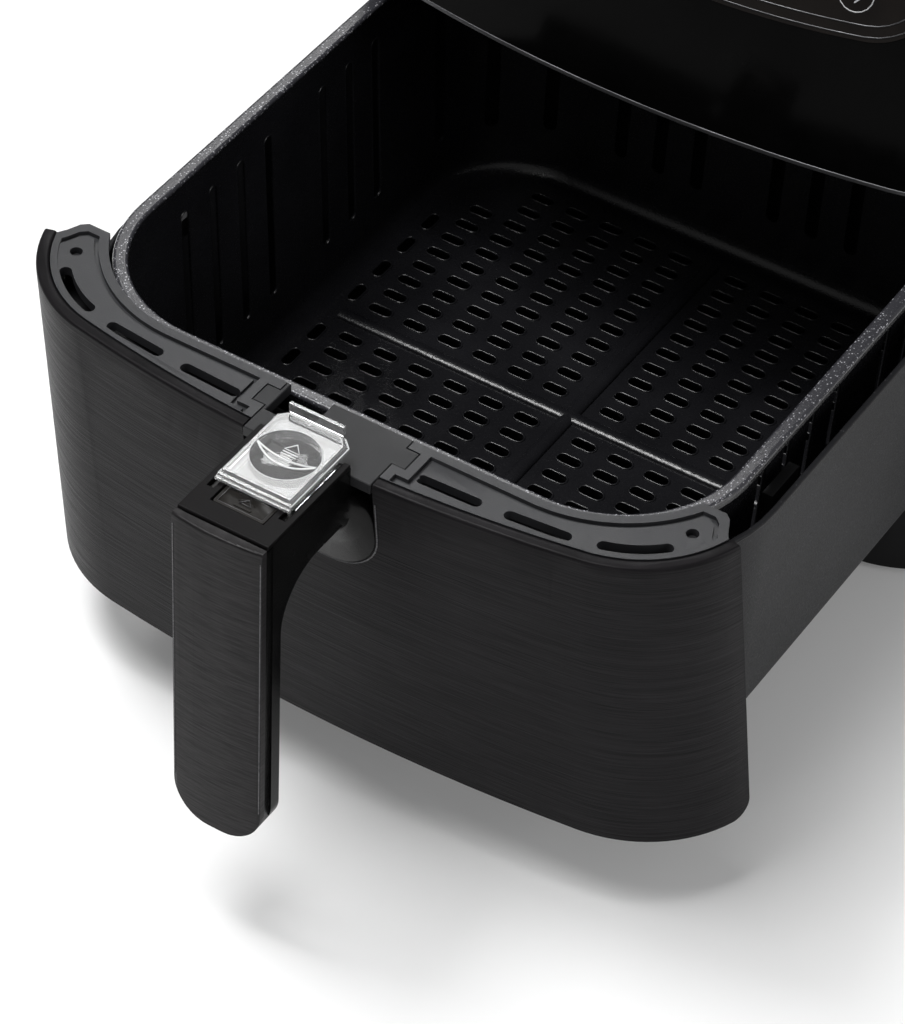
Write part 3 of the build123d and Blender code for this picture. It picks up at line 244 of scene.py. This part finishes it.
winding = sheet_metal("winding", (0.4, 0.14, 0.04), (0.62, 0.26, 0.09), 0.35, (30, 30, 1600), 0.0001)
bearing_bronze = sheet_metal("bearing_bronze", (0.5, 0.32, 0.13), (0.65, 0.44, 0.2), 0.45, (800, 800, 800))

# Boards and soft parts.
circuit_board = moulded("circuit_board", (0.012, 0.09, 0.03), (0.02, 0.13, 0.045), 0.35, 900, 0.00005)
silicone = moulded("silicone", (0.014, 0.014, 0.015), (0.02, 0.02, 0.021), 0.7, 1200, 0.00004, 0.3)
rubber = moulded("rubber", (0.012, 0.012, 0.012), (0.018, 0.018, 0.018), 0.8, 1500, 0.00006, 0.3)

finish_of_slot = {
    "brushed_black": brushed_black,
    "satin_grey": satin_grey,
    "matte_black": matte_black,
    "handle_black": handle_black,
    "deck_black": deck_black,
    "button_gloss": button_gloss,
    "gloss_black": gloss_black,
    "touch_glass": touch_glass,
    "bright_trim": bright_trim,
    "clear_plastic": clear_plastic,
    "pan_coating": pan_coating,
    "basket_coating": basket_coating,
    "steel": steel,
    "dark_steel": dark_steel,
    "element_sheath": element_sheath,
    "fan_aluminium": fan_aluminium,
    "laminations": laminations,
    "winding": winding,
    "bearing_bronze": bearing_bronze,
    "circuit_board": circuit_board,
    "silicone": silicone,
    "rubber": rubber,
}
slot_of_node = {row["node"]: row["material_slot"] for row in frame["record"]["subparts"]}
for node_name, obj in nodes.items():
    finish = finish_of_slot[slot_of_node[node_name]]
    if not obj.material_slots:
        obj.data.materials.append(finish)
    for slot in obj.material_slots:
        slot.material = finish
for slot in nodes["grip_plate"].material_slots:
    slot.material = grip_brushed


# ---------------------------------------------------------------- rounded edges on the seen pieces
def linked(name, data):
    """A new object of some data, linked to the scene."""
    made = bpy.data.objects.new(name, data)
    scene.collection.objects.link(made)
    return made


def add_piece(name, mesh, body, slot, finish=None):
    """Link a finished mesh as a piece that rides on a body and wears a slot's finish."""
    piece = linked(name, mesh)
    mesh.materials.clear()
    mesh.materials.append(finish or finish_of_slot[slot])
    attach(piece, body)
    return piece


def baked(piece):
    """The piece's mesh with its modifiers applied; the piece itself is removed."""
    evaluated = piece.evaluated_get(bpy.context.evaluated_depsgraph_get())
    mesh = bpy.data.meshes.new_from_object(evaluated)
    mesh.name = piece.name
    bpy.data.objects.remove(piece)
    return mesh


def with_radii(piece, radius, least_angle=30):
    """Give a rough piece small radii on its edges that turn by more than an angle in degrees."""
    bevel = piece.modifiers.new("radii", "BEVEL")
    bevel.width = radius
    bevel.segments = 2
    bevel.limit_method = "ANGLE"
    bevel.angle_limit = radians(least_angle)
    return bevel


def merged_copy(node_name):
    """A node's mesh with its loose triangles joined and its flat faces made whole."""
    mesh = nodes[node_name].data.copy()
    shell = bmesh.new()
    shell.from_mesh(mesh)
    bmesh.ops.remove_doubles(shell, verts=shell.verts, dist=1e-6)
    bmesh.ops.dissolve_limit(shell, angle_limit=radians(0.3), verts=shell.verts, edges=shell.edges)
    for face in shell.faces:
        face.smooth = True
    shell.to_mesh(mesh)
    shell.free()
    mesh.set_sharp_from_angle(angle=radians(30))
    return mesh


def rounded(node_name, radius, body, finish=None):
    """Stand a copy with small radii on its edges in the place of a CAD node."""
    rough_copy = linked(node_name + "_rounded", merged_copy(node_name))
    bevel = with_radii(rough_copy, radius, 35)
    bevel.use_clamp_overlap = True
    bevel.harden_normals = True
    piece = add_piece(node_name + "_rounded", baked(rough_copy), body, slot_of_node[node_name], finish)
    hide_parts(node_name)


for node_name, radius, body, finish in (
    ("drawer_front", 0.0004, "drawer", None),
    ("right_trim", 0.00025, "drawer", None),
    ("left_trim", 0.00025, "drawer", None),
    ("handle_body", 0.0005, "drawer", None),
    ("handle_deck", 0.0002, "drawer", None),
    ("drawer_pan", 0.0004, "drawer", None),
    ("release_button", 0.0002, "button", None),
    ("grip_plate", 0.0004, "drawer", grip_brushed),
    ("handle_plate", 0.0003, "drawer", plate_grey),
    ("fascia_strip", 0.0002, "housing", dull_strip),
):
    rounded(node_name, radius, body, finish)


# ---------------------------------------------------------------- round wires along lines
def wire_tree(name, finish):
    """Geometry Nodes tree that runs a round wire of a given radius along a mesh's edges."""
    tree = bpy.data.node_groups.new(name, "GeometryNodeTree")
    tree.interface.new_socket("Edges", in_out="INPUT", socket_type="NodeSocketGeometry")
    tree.interface.new_socket("Radius", in_out="INPUT", socket_type="NodeSocketFloat")
    tree.interface.new_socket("Geometry", in_out="OUTPUT", socket_type="NodeSocketGeometry")
    step = partial(add_node, tree)
    given = step("NodeGroupInput").outputs
    path = step("GeometryNodeMeshToCurve", {"Mesh": given["Edges"]}).outputs[0]
    circle = {"Resolution": 8, "Radius": given["Radius"]}
    ring = step("GeometryNodeCurvePrimitiveCircle", circle).outputs[0]
    swept = {"Curve": path, "Profile Curve": ring, "Fill Caps": True}
    wire = step("GeometryNodeCurveToMesh", swept).outputs[0]
    whole = step("GeometryNodeRealizeInstances", {0: wire}).outputs[0]
    dressed = step("GeometryNodeSetMaterial", {"Geometry": whole, "Material": finish}).outputs[0]
    step("NodeGroupOutput", {0: dressed})
    return tree


def set_inputs(modifier, tree, values):
    """Hand a Geometry Nodes modifier its tree and the values of the tree's named inputs."""
    modifier.node_group = tree
    for socket in tree.interface.items_tree:
        if socket.name in values and socket.in_out == "INPUT":
            modifier[socket.identifier] = values[socket.name]


def wires(name, lines, radius, body, slot, finish, closed=True):
    """Round wires along lines of points, closed into rings unless told otherwise."""
    points = [point for line in lines for point in line]
    edges = []
    start = 0
    for line in lines:
        edges += [(start + n, start + n + 1) for n in range(len(line) - 1)]
        if closed:
            edges.append((start + len(line) - 1, start))
        start += len(line)
    path = bpy.data.meshes.new(name + "_path")
    path.from_pydata(points, edges, [])
    seed = linked(name, path)
    set_inputs(seed.modifiers.new("wire", "NODES"), wire_tree(name + "_tree", finish), {"Radius": radius})
    mesh = baked(seed)
    for face in mesh.polygons:
        face.use_smooth = True
    add_piece(name, mesh, body, slot, finish)


def around(radius, start, end, step):
    """Places on a circle, measured from its middle, at angles in degrees."""
    return [(radius * cos(radians(a)), radius * sin(radians(a))) for a in range(start, end, step)]


def rounded_ring(half, front, back, corner, height):
    """Level rounded rectangle between two Y values, measured from the drawer's middle."""
    ring = []
    last = 13
    for x, y, start in ((1, back, 0), (-1, back, 90), (-1, front, 180), (1, front, 270)):
        inside = corner if y == front else -corner
        for n in range(last + 1):
            turn = radians(start + 90 * n / last)
            across = x * (half - corner) + corner * cos(turn)
            ring.append((across, plan_y + y + inside + corner * sin(turn), height))
    return ring


# Rolled edge of the drawer pan.
roll_radius = 0.0011
pan_corner = 0.0575
pan_low, pan_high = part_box("drawer_pan")
rolled_edge = rounded_ring(
    pan_high[0] - roll_radius / 2,
    pan_low[1] - plan_y + roll_radius / 2,
    pan_high[1] - plan_y - roll_radius / 2,
    pan_corner,
    pan_high[2],
)
wires("pan_rolled_edge", [rolled_edge], roll_radius, "drawer", "pan_coating", pan_coating)

# ---------------------------------------------------------------- clear guard over the button
guard_depth = 0.007
lip_depth = 0.004
flange = 0.0013
flange_reach = 0.0011
front_lip = 0.0014
corner_cut = 0.0034
hair_gap = 0.00002
guard_low, guard_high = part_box("button_guard")
guard_floor = guard_high[2] - guard_depth
guard_face = guard_high[2] - lip_depth
guard_front = guard_low[1] + front_lip
guard_back = guard_high[1]
guard_half = guard_high[0]


def guard_outline(inset, height):
    """The guard's outline with its cut back corners, moved in by an inset."""
    half = guard_half - inset
    front = guard_front + inset
    back = guard_back - inset
    cut = corner_cut - 0.4 * inset
    corners = (
        (-half, front), (half, front), (half, back - cut),
        (half - cut, back), (cut - half, back), (-half, back - cut),
    )
    return [(x, y, height) for x, y in corners]


def stacked(shell, rings):
    """Join level rings of points into one closed shell."""
    rows = [[shell.verts.new(point) for point in ring] for ring in rings]
    for lower, upper in zip(rows, rows[1:]):
        for n in range(len(lower)):
            after = (n + 1) % len(lower)
            shell.faces.new((lower[n], lower[after], upper[after], upper[n]))
    shell.faces.new(list(reversed(rows[0])))
    shell.faces.new(rows[-1])


def rough_piece(name, shell):
    """An object of a shell that is still to be finished; the shell is freed."""
    mesh = bpy.data.meshes.new(name)
    shell.to_mesh(mesh)
    shell.free()
    return linked(name, mesh)


guard_shell = bmesh.new()
stacked(guard_shell, [
    guard_outline(0, guard_floor),
    guard_outline(0, guard_floor + flange),
    guard_outline(flange_reach, guard_floor + flange),
    guard_outline(flange_reach, guard_face),
])
guard_body = rough_piece("guard_body", guard_shell)

# The thumb dish is cut by a large ball.
dish_radius = 0.046
dish_depth = 0.0016
dish_forward = 0.0005
dish_y = (guard_front + guard_back) / 2 - dish_forward
dish_middle = Vector((0, dish_y, guard_face + dish_radius - dish_depth))
ball_shell = bmesh.new()
ball_place = Matrix.Translation(dish_middle)
bmesh.ops.create_icosphere(ball_shell, subdivisions=6, radius=dish_radius, matrix=ball_place)
ball = rough_piece("guard_dish", ball_shell)
hollow = guard_body.modifiers.new("dish", "BOOLEAN")
hollow.operation = "DIFFERENCE"
hollow.object = ball
hollow.solver = "EXACT"
with_radii(guard_body, 0.0003, 25)
guard_mesh = baked(guard_body)
bpy.data.objects.remove(ball)
guard_piece = add_piece("guard_body", guard_mesh, "guard", "clear_plastic")
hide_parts("button_guard")

# Lips: one stands up at the back to push with, one is low at the front, two run in the deck's slots.
push_half = 0.0106
push_y = (guard_back - 0.0016, guard_back - 0.0002)
push_z = (guard_face + hair_gap, guard_high[2])
front_y = (guard_low[1], guard_front - hair_gap)
front_z = (guard_floor - 0.0004, guard_floor + 0.0008)
runner_inner, runner_outer = 0.0129, 0.0143
runner_y = (guard_front + 0.002, guard_front + 0.0255)
runner_z = (guard_low[2], guard_floor - hair_gap)
lips = bmesh.new()
for x_range, y_range, z_range in (
    ((-push_half, push_half), push_y, push_z),
    ((-guard_half, guard_half), front_y, front_z),
    ((-runner_outer, -runner_inner), runner_y, runner_z),
    ((runner_inner, runner_outer), runner_y, runner_z),
):
    (left, right), (front, back) = x_range, y_range
    corners = ((left, front), (right, front), (right, back), (left, back))
    stacked(lips, [[(x, y, z) for x, y in corners] for z in z_range])
rough_lips = rough_piece("guard_lips", lips)
with_radii(rough_lips, 0.00025)
add_piece("guard_lips", baked(rough_lips), "guard", "clear_plastic")


def on_dish(x, y):
    """A point on the dish's surface at a plan place measured from its middle."""
    drop = (dish_radius ** 2 - x ** 2 - y ** 2) ** 0.5
    return (x, dish_middle[1] + y, dish_middle[2] - drop)


# Two bowed raised lines across the dish whose frosted white is a painted highlight, a lift mark with two
# dashes, and painted highlights along the guard's edges and round the dish.
line_half = 0.0112
line_y = 0.0005
line_steps = 24
bowed_lines = []
for bow in (0.0012, 0.0042):
    across = [-line_half + 2 * line_half * n / line_steps for n in range(line_steps + 1)]
    bowed_lines.append([on_dish(x, line_y - bow * (1 - (x / line_half) ** 2)) for x in across])
mark_half = 0.0028
mark_foot = 0.0035
mark_tip = 0.0068
arrow = [on_dish(-mark_half, mark_foot), on_dish(mark_half, mark_foot), on_dish(0, mark_tip)]
dashes = [[on_dish(-mark_half, y), on_dish(mark_half, y)] for y in (0.0025, 0.0014)]
dish_edge_radius = 0.0118
upper_inset = 0.0021
lower_inset = 0.0004
dish_edge_highlight = [on_dish(x, y) for x, y in around(dish_edge_radius, 0, 360, 10)]
upper_edge_highlight = guard_outline(upper_inset, guard_face)
lower_edge_highlight = guard_outline(lower_inset, guard_floor + flange)
# The ridges are raised; their frosted white is a painted highlight.
wires("guard_ridge_highlight", bowed_lines, 0.0004, "guard", "clear_plastic", frosted_and_painted_highlight, closed=False)
wires("guard_mark", [arrow], 0.00025, "guard", "satin_grey", frosted_and_painted_highlight)
wires("guard_dashes", dashes, 0.00025, "guard", "satin_grey", frosted_and_painted_highlight, closed=False)
# Frosted white wires along the guard's edges and round the dish: painted highlights of the clear plastic's
# edges.
wires("guard_frame_highlight", [upper_edge_highlight], 0.00022, "guard", "clear_plastic", frosted_and_painted_highlight)
wires("guard_edge_highlight", [lower_edge_highlight], 0.00022, "guard", "clear_plastic", frosted_and_painted_highlight)
wires("guard_dish_highlight", [dish_edge_highlight], 0.0002, "guard", "clear_plastic", frosted_and_painted_highlight)

# Frame and lift mark on the button, in front of the guard.
label_half = 0.0086
label_length = 0.0075
button_low, button_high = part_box("release_button")
label_z = button_high[2] - 0.0002
label_front = button_low[1] + 0.0011
label_back = label_front + label_length
label_frame = [
    (-label_half, label_front, label_z),
    (label_half, label_front, label_z),
    (label_half, label_back, label_z),
    (-label_half, label_back, label_z),
]
lift_corners = ((-0.0022, 0.003), (0.0022, 0.003), (0, 0.0055))
lift_mark = [(x, label_front + y, label_z + 0.0001) for x, y in lift_corners]
wires("button_frame", [label_frame], 0.0002, "button", "satin_grey", dull_strip)
wires("button_mark", [lift_mark], 0.0002, "button", "satin_grey", dull_strip)


# ---------------------------------------------------------------- painted highlights on the edges of the grip and the notch
def front_finder(node_name):
    """A function that gives the point of a node's front face at a width and a height."""
    shell = bmesh.new()
    shell.from_mesh(nodes[node_name].data)
    surface = BVHTree.FromBMesh(shell)
    shell.free()
    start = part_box(node_name)[0][1] - 0.05
    proud = 0.00005

    def find(x, z):
        hit = surface.ray_cast(Vector((x, start, z)), Vector((0, 1, 0)))[0]
        return (x, hit[1] - proud, z) if hit else None
    return find


on_plate = front_finder("grip_plate")
edge_inset = 0.0005
edge_foot = 0.016
edge_top_gap = 0.002
edge_pitch = 0.003
grip_low, grip_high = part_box("grip_plate")
edge_heights = [grip_low[2] + edge_foot + edge_pitch * n for n in range(50)]
edge_heights = [z for z in edge_heights if z < grip_high[2] - edge_top_gap]
grip_edge_highlights = []
for edge_x in (grip_low[0] + edge_inset, grip_high[0] - edge_inset):
    line = [on_plate(edge_x, z) for z in edge_heights]
    grip_edge_highlights.append([point for point in line if point])
# Metal wires on the grip plate's sides: painted highlights of its edges.
wires("grip_edge_highlights", grip_edge_highlights, 0.0002, "drawer", "satin_grey", dull_strip, closed=False)

on_front = front_finder("drawer_front")
notch_half = 0.0256
notch_corner = 0.0192
notch_low = trim_top - 0.0457
notch_high = trim_top - 0.009
notch_places = [(-notch_half, notch_high)]
for middle_x, start in ((notch_corner - notch_half, 180), (notch_half - notch_corner, 270)):
    for x, z in around(notch_corner, start, start + 91, 10):
        notch_places.append((middle_x + x, notch_low + notch_corner + z))
notch_places.append((notch_half, notch_high))
notch_highlight_line = [on_front(x, z) for x, z in notch_places]
notch_highlight_line = [point for point in notch_highlight_line if point]
# A metal wire along the notch round the handle's root: painted highlight of its edge.
wires("notch_edge_highlight", [notch_highlight_line], 0.00025, "drawer", "satin_grey", dull_strip, closed=False)

# ---------------------------------------------------------------- touch panel's outlines and icons
on_glass = front_finder("touch_panel")
glass_low, glass_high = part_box("touch_panel")
glass_middle = (glass_low[2] + glass_high[2]) / 2
past_glass = 0.12


def glass_edge(turn):
    """Place on the touch panel's edge, seen from the front, in a direction from its middle."""
    inside, outside = 0.0, past_glass
    for _ in range(18):
        reach = (inside + outside) / 2
        if on_glass(reach * cos(turn), glass_middle + reach * sin(turn)):
            inside = reach
        else:
            outside = reach
    return Vector((inside * cos(turn), glass_middle + inside * sin(turn)))


glass_edges = [glass_edge(radians(n)) for n in range(0, 360, 2)]


def glass_ring(inset):
    """Outline on the touch panel, moved in from its edge."""
    ring = []
    for n, edge in enumerate(glass_edges):
        along = (glass_edges[(n + 1) % len(glass_edges)] - glass_edges[n - 1]).normalized()
        ring.append(on_glass(edge.x - inset * along.y, edge.y + inset * along.x))
    return ring


outlines = [glass_ring(inset) for inset in (0.0016, 0.0055)]
wires("touch_outlines", outlines, 0.00025, "housing", "bright_trim", dull_strip)

icon_below_middle = 0.016
icon_pitch = 0.0235
icon_radius = 0.0062
stroke = 0.003
icon_z = glass_middle - icon_below_middle


def on_icon(place, *strokes):
    """Points on the touch panel from an icon's middle; the icons are counted from the panel's."""
    return [on_glass(place * icon_pitch + x, icon_z + z) for x, z in strokes]


icon_rings = [on_icon(place, *around(icon_radius, 0, 360, 20)) for place in range(-3, 4)]
wires("touch_rings", icon_rings, 0.0002, "housing", "touch_glass", print_white)

power_arc = [(0.0028 * sin(radians(a)), 0.0028 * cos(radians(a))) for a in range(40, 321, 20)]
wave = [(0.0018 * sin(0.8 * n), 0.0015 * n - stroke) for n in range(5)]
icon_strokes = [
    on_icon(0, (0, 0.001), (0, 0.0042)),
    on_icon(0, *power_arc),
    on_icon(1, (-stroke, 0), (stroke, 0)),
    on_icon(1, (0, -stroke), (0, stroke)),
    on_icon(-1, (-stroke, 0), (stroke, 0)),
    on_icon(2, (0, 0), (0, 0.0035)),
    on_icon(2, (0, 0), (0.0022, -0.0012)),
    on_icon(-2, (0, -stroke), (0, stroke)),
    on_icon(-2, (0.0015, -stroke), (0.0015, stroke)),
    on_icon(-3, *wave),
    on_icon(3, *wave),
]
wires("touch_marks", icon_strokes, 0.00028, "housing", "touch_glass", print_white, closed=False)

# Digits of the display, each made of some of seven bars.
bars_of_digit = {0: "abcdef", 1: "bc", 8: "abcdefg"}
ends_of_bar = {
    "a": ((0, 2), (1, 2)), "b": ((1, 2), (1, 1)), "c": ((1, 1), (1, 0)), "d": ((0, 0), (1, 0)),
    "e": ((0, 0), (0, 1)), "f": ((0, 1), (0, 2)), "g": ((0, 1), (1, 1)),
}
bar_height = 0.0075
bar_width = 0.9 * bar_height
bar_gap = 0.0008
digit_pitch = 0.013
display_z = 0.0155
bar_lines = []
for place, digit in enumerate((1, 8, 0)):
    left = (place - 1.3) * digit_pitch
    for bar in bars_of_digit[digit]:
        (x0, z0), (x1, z1) = ends_of_bar[bar]
        gap_x, gap_z = (x1 - x0) * bar_gap, (z1 - z0) * bar_gap
        bar_lines.append(on_icon(
            0,
            (left + x0 * bar_width + gap_x, display_z + z0 * bar_height + gap_z),
            (left + x1 * bar_width - gap_x, display_z + z1 * bar_height - gap_z),
        ))
wires("touch_digits", bar_lines, 0.00045, "housing", "touch_glass", print_white, closed=False)

# ---------------------------------------------------------------- pressed lips of the basket's slots
floor_half_width = 0.104
floor_fillet = 0.0065
floor_corner = 0.034
floor_back, floor_front = 0.107, 0.127
slot_reach = (0.005, 0.00225)


def on_floor(x, y):
    """True where a floor slot lies wholly on the flat of the basket's floor."""
    past_x = abs(x) + slot_reach[0] - (floor_half_width - floor_fillet - floor_corner)
    past_y = max(y - floor_back, -floor_front - y) + slot_reach[1] + floor_corner
    if past_x > floor_corner or past_y > floor_corner:
        return False
    return past_y <= 0 or hypot(max(past_x, 0), past_y) <= floor_corner


def lip_tree(name, finish):
    """Geometry Nodes tree that puts a slot's rounded lip on every point, turned as the point says."""
    tree = bpy.data.node_groups.new(name, "GeometryNodeTree")
    tree.interface.new_socket("Points", in_out="INPUT", socket_type="NodeSocketGeometry")
    for title in ("Length", "Width", "Lip"):
        tree.interface.new_socket(title, in_out="INPUT", socket_type="NodeSocketFloat")
    tree.interface.new_socket("Geometry", in_out="OUTPUT", socket_type="NodeSocketGeometry")
    step = partial(add_node, tree)
    given = step("NodeGroupInput").outputs
    size = {"Width": given["Length"], "Height": given["Width"]}
    sheet = step("GeometryNodeCurvePrimitiveQuadrilateral", size).outputs[0]
    half = step("ShaderNodeMath", {0: given["Width"], 1: 0.499}, operation="MULTIPLY").outputs[0]
    ends = {"Curve": sheet, "Radius": half, "Count": 4}
    slot_line = step("GeometryNodeFilletCurve", ends, mode="POLY").outputs[0]
    ring = step("GeometryNodeCurvePrimitiveCircle", {"Resolution": 6, "Radius": given["Lip"]}).outputs[0]
    lip = step("GeometryNodeCurveToMesh", {"Curve": slot_line, "Profile Curve": ring}).outputs[0]
    turn = step("GeometryNodeInputNamedAttribute", {"Name": "turn"}, data_type="FLOAT_VECTOR").outputs[0]
    angles = step("FunctionNodeEulerToRotation", {0: turn}).outputs[0]
    laid = {"Points": given["Points"], "Instance": lip, "Rotation": angles}
    placed = step("GeometryNodeInstanceOnPoints", laid).outputs[0]
    whole = step("GeometryNodeRealizeInstances", {0: placed}).outputs[0]
    smooth = step("GeometryNodeSetShadeSmooth", {0: whole}).outputs[0]
    dressed = step("GeometryNodeSetMaterial", {"Geometry": smooth, "Material": finish}).outputs[0]
    step("NodeGroupOutput", {0: dressed})
    return tree


def slot_lips(name, places, length, width, lip):
    """Lips round a set of slots; each place is a point and its turn about X, Y and Z."""
    points = bpy.data.meshes.new(name + "_points")
    points.from_pydata([place for place, turn in places], [], [])
    turns = points.attributes.new("turn", "FLOAT_VECTOR", "POINT")
    for index, (place, turn) in enumerate(places):
        turns.data[index].vector = turn
    seed = linked(name, points)
    sizes = {"Length": length, "Width": width, "Lip": lip}
    set_inputs(seed.modifiers.new("lips", "NODES"), lip_tree(name + "_tree", basket_coating), sizes)
    add_piece(name, baked(seed), "drawer", "basket_coating")


# Slots of the floor: a grid in each quarter beside its raised cross, and a row along each side.
floor_thickness = 0.0012
floor_top = basket_low[2] + floor_thickness
floor_slot_length, floor_slot_width, floor_lip = 0.0102, 0.0047, 0.00045
column_pitch, row_pitch = 0.0152, 0.00993
first_column = 0.01213
side_column = 0.1008
side_first, side_pitch = 0.0135, 0.0167
grid_places = [
    ((side * (first_column + column * column_pitch), plan_y + row * row_pitch, floor_top), (0, 0, 0))
    for side in (-1, 1)
    for column in range(6)
    for row in range(-12, 12)
    if row != 0 and on_floor(first_column + column * column_pitch, row * row_pitch)
]
side_places = [
    ((side * side_column, plan_y + way * (side_first + step * side_pitch), floor_top), (0, 0, radians(90)))
    for side in (-1, 1)
    for way in (-1, 1)
    for step in range(4)
]
slot_lips("floor_slot_lips", grid_places + side_places, floor_slot_length, floor_slot_width, floor_lip)

# Slots of the side walls, in two groups, on walls that lean with the basket's draft.
wall_slot_middle = trim_top - 0.05425
wall_slot_length, wall_slot_width, wall_lip = 0.0725, 0.0054, 0.0006
wall_slot_pitch = 0.017
wall_half = 0.1154
wall_draft = radians(2.4)
wall_x = wall_half - (rim_top - wall_slot_middle) * tan(wall_draft)
wall_groups = ((-0.077, 4), (0.0085, 3))
wall_places = [
    (
        (side * wall_x, plan_y + (first + wall_slot_pitch * n), wall_slot_middle),
        (0, radians(90) + side * wall_draft, 0),
    )
    for side in (-1, 1)
    for first, count in wall_groups
    for n in range(count)
]
slot_lips("wall_slot_lips", wall_places, wall_slot_length, wall_slot_width, wall_lip)


# ---------------------------------------------------------------- floor, lamps and camera
def seen_white(tree, base, strength):
    """Add white light that only the camera, reflections and clear plastic see."""
    path = shade(tree, "LightPath").outputs
    first = shade(tree, "Math", {0: path["Is Camera Ray"], 1: path["Is Glossy Ray"]}, operation="ADD")
    both = shade(tree, "Math", {0: first.outputs[0], 1: path["Is Transmission Ray"]}, operation="ADD")
    level = shade(tree, "Math", {0: both.outputs[0], 1: strength}, operation="MULTIPLY", use_clamp=True)
    glow = shade(tree, "Emission", {"Color": (1, 1, 1, 1), "Strength": level.outputs[0]})
    return shade(tree, "AddShader", {0: base, 1: glow.outputs[0]}).outputs[0]


floor_half = 12.0
floor_glow = 0.1
floor_grey = 0.86
floor_mesh = bpy.data.meshes.new("floor")
floor_corners = [(x * floor_half, y * floor_half, 0) for x, y in ((-1, -1), (1, -1), (1, 1), (-1, 1))]
floor_mesh.from_pydata(floor_corners, [], [(0, 1, 2, 3)])
floor = linked("floor", floor_mesh)
floor_white = bpy.data.materials.new("floor_white")
floor_white.use_nodes = True
tree = floor_white.node_tree
tree.nodes.clear()
diffuse = shade(tree, "BsdfDiffuse", {"Color": (floor_grey, floor_grey, floor_grey, 1)})
out = shade(tree, "OutputMaterial")
tree.links.new(seen_white(tree, diffuse.outputs[0], floor_glow), out.inputs["Surface"])
floor_mesh.materials.append(floor_white)

# The surroundings are white to the camera and light the object with less.
world_light = 0.27
world = bpy.data.worlds.new("studio")
scene.world = world
world.use_nodes = True
tree = world.node_tree
tree.nodes.clear()
path = shade(tree, "LightPath")
level = shade(tree, "Mix", {0: path.outputs["Is Camera Ray"], 2: world_light, 3: 1.0}, data_type="FLOAT")
sky = shade(tree, "Background", {"Color": (1, 1, 1, 1), "Strength": level.outputs[0]})
out = shade(tree, "OutputWorld")
tree.links.new(sky.outputs[0], out.inputs["Surface"])


def softbox(name, at, aim, size, power):
    """Square area lamp at a place, aimed at a point."""
    data = bpy.data.lights.new(name, "AREA")
    data.shape = "SQUARE"
    data.size = size
    data.energy = power
    lamp = linked(name, data)
    lamp.location = at
    lamp.rotation_mode = "QUATERNION"
    lamp.rotation_quaternion = (Vector(aim) - Vector(at)).to_track_quat("-Z", "Y")


softbox("top_lamp", (-0.3, -0.6, 2.0), (0, -0.1, 0.1), 0.9, 26)
softbox("accent_lamp", (-0.78, -0.25, 1.95), (0, 0, 0.1), 0.5, 16)
softbox("back_lamp", (-0.85, 1.35, 1.75), (0, -0.2, 0.15), 0.6, 9)
softbox("side_lamp", (1.9, 0.1, 0.7), (0, -0.1, 0.1), 0.7, 9)

# The camera looks from the right of the front, over the open drawer.
view_turn = 0.536797394
view_rise = 0.757658286
view_roll = 0.0484846889
view_distance = 1.56684218
view_shift = (0.0778638335, 0.148587291)
view_behind = 0.0589548
view_origin = Vector((0, plan_y + view_behind, trim_top))
back = Vector((sin(view_turn) * cos(view_rise), -cos(view_turn) * cos(view_rise), sin(view_rise)))
level_right = Vector((cos(view_turn), sin(view_turn), 0))
level_up = back.cross(level_right)
right = cos(view_roll) * level_right + sin(view_roll) * level_up
up = cos(view_roll) * level_up - sin(view_roll) * level_right
camera_data = bpy.data.cameras.new("camera")
camera_data.sensor_width = 36.0
camera_data.lens = 156.55
camera_data.clip_start = 0.05
camera = linked("camera", camera_data)
place_of = view_origin + back * view_distance - right * view_shift[0] - up * view_shift[1]
camera.matrix_world = Matrix.Translation(place_of) @ Matrix((right, up, back)).transposed().to_4x4()
scene.camera = camera
scene.view_settings.view_transform = "Standard"
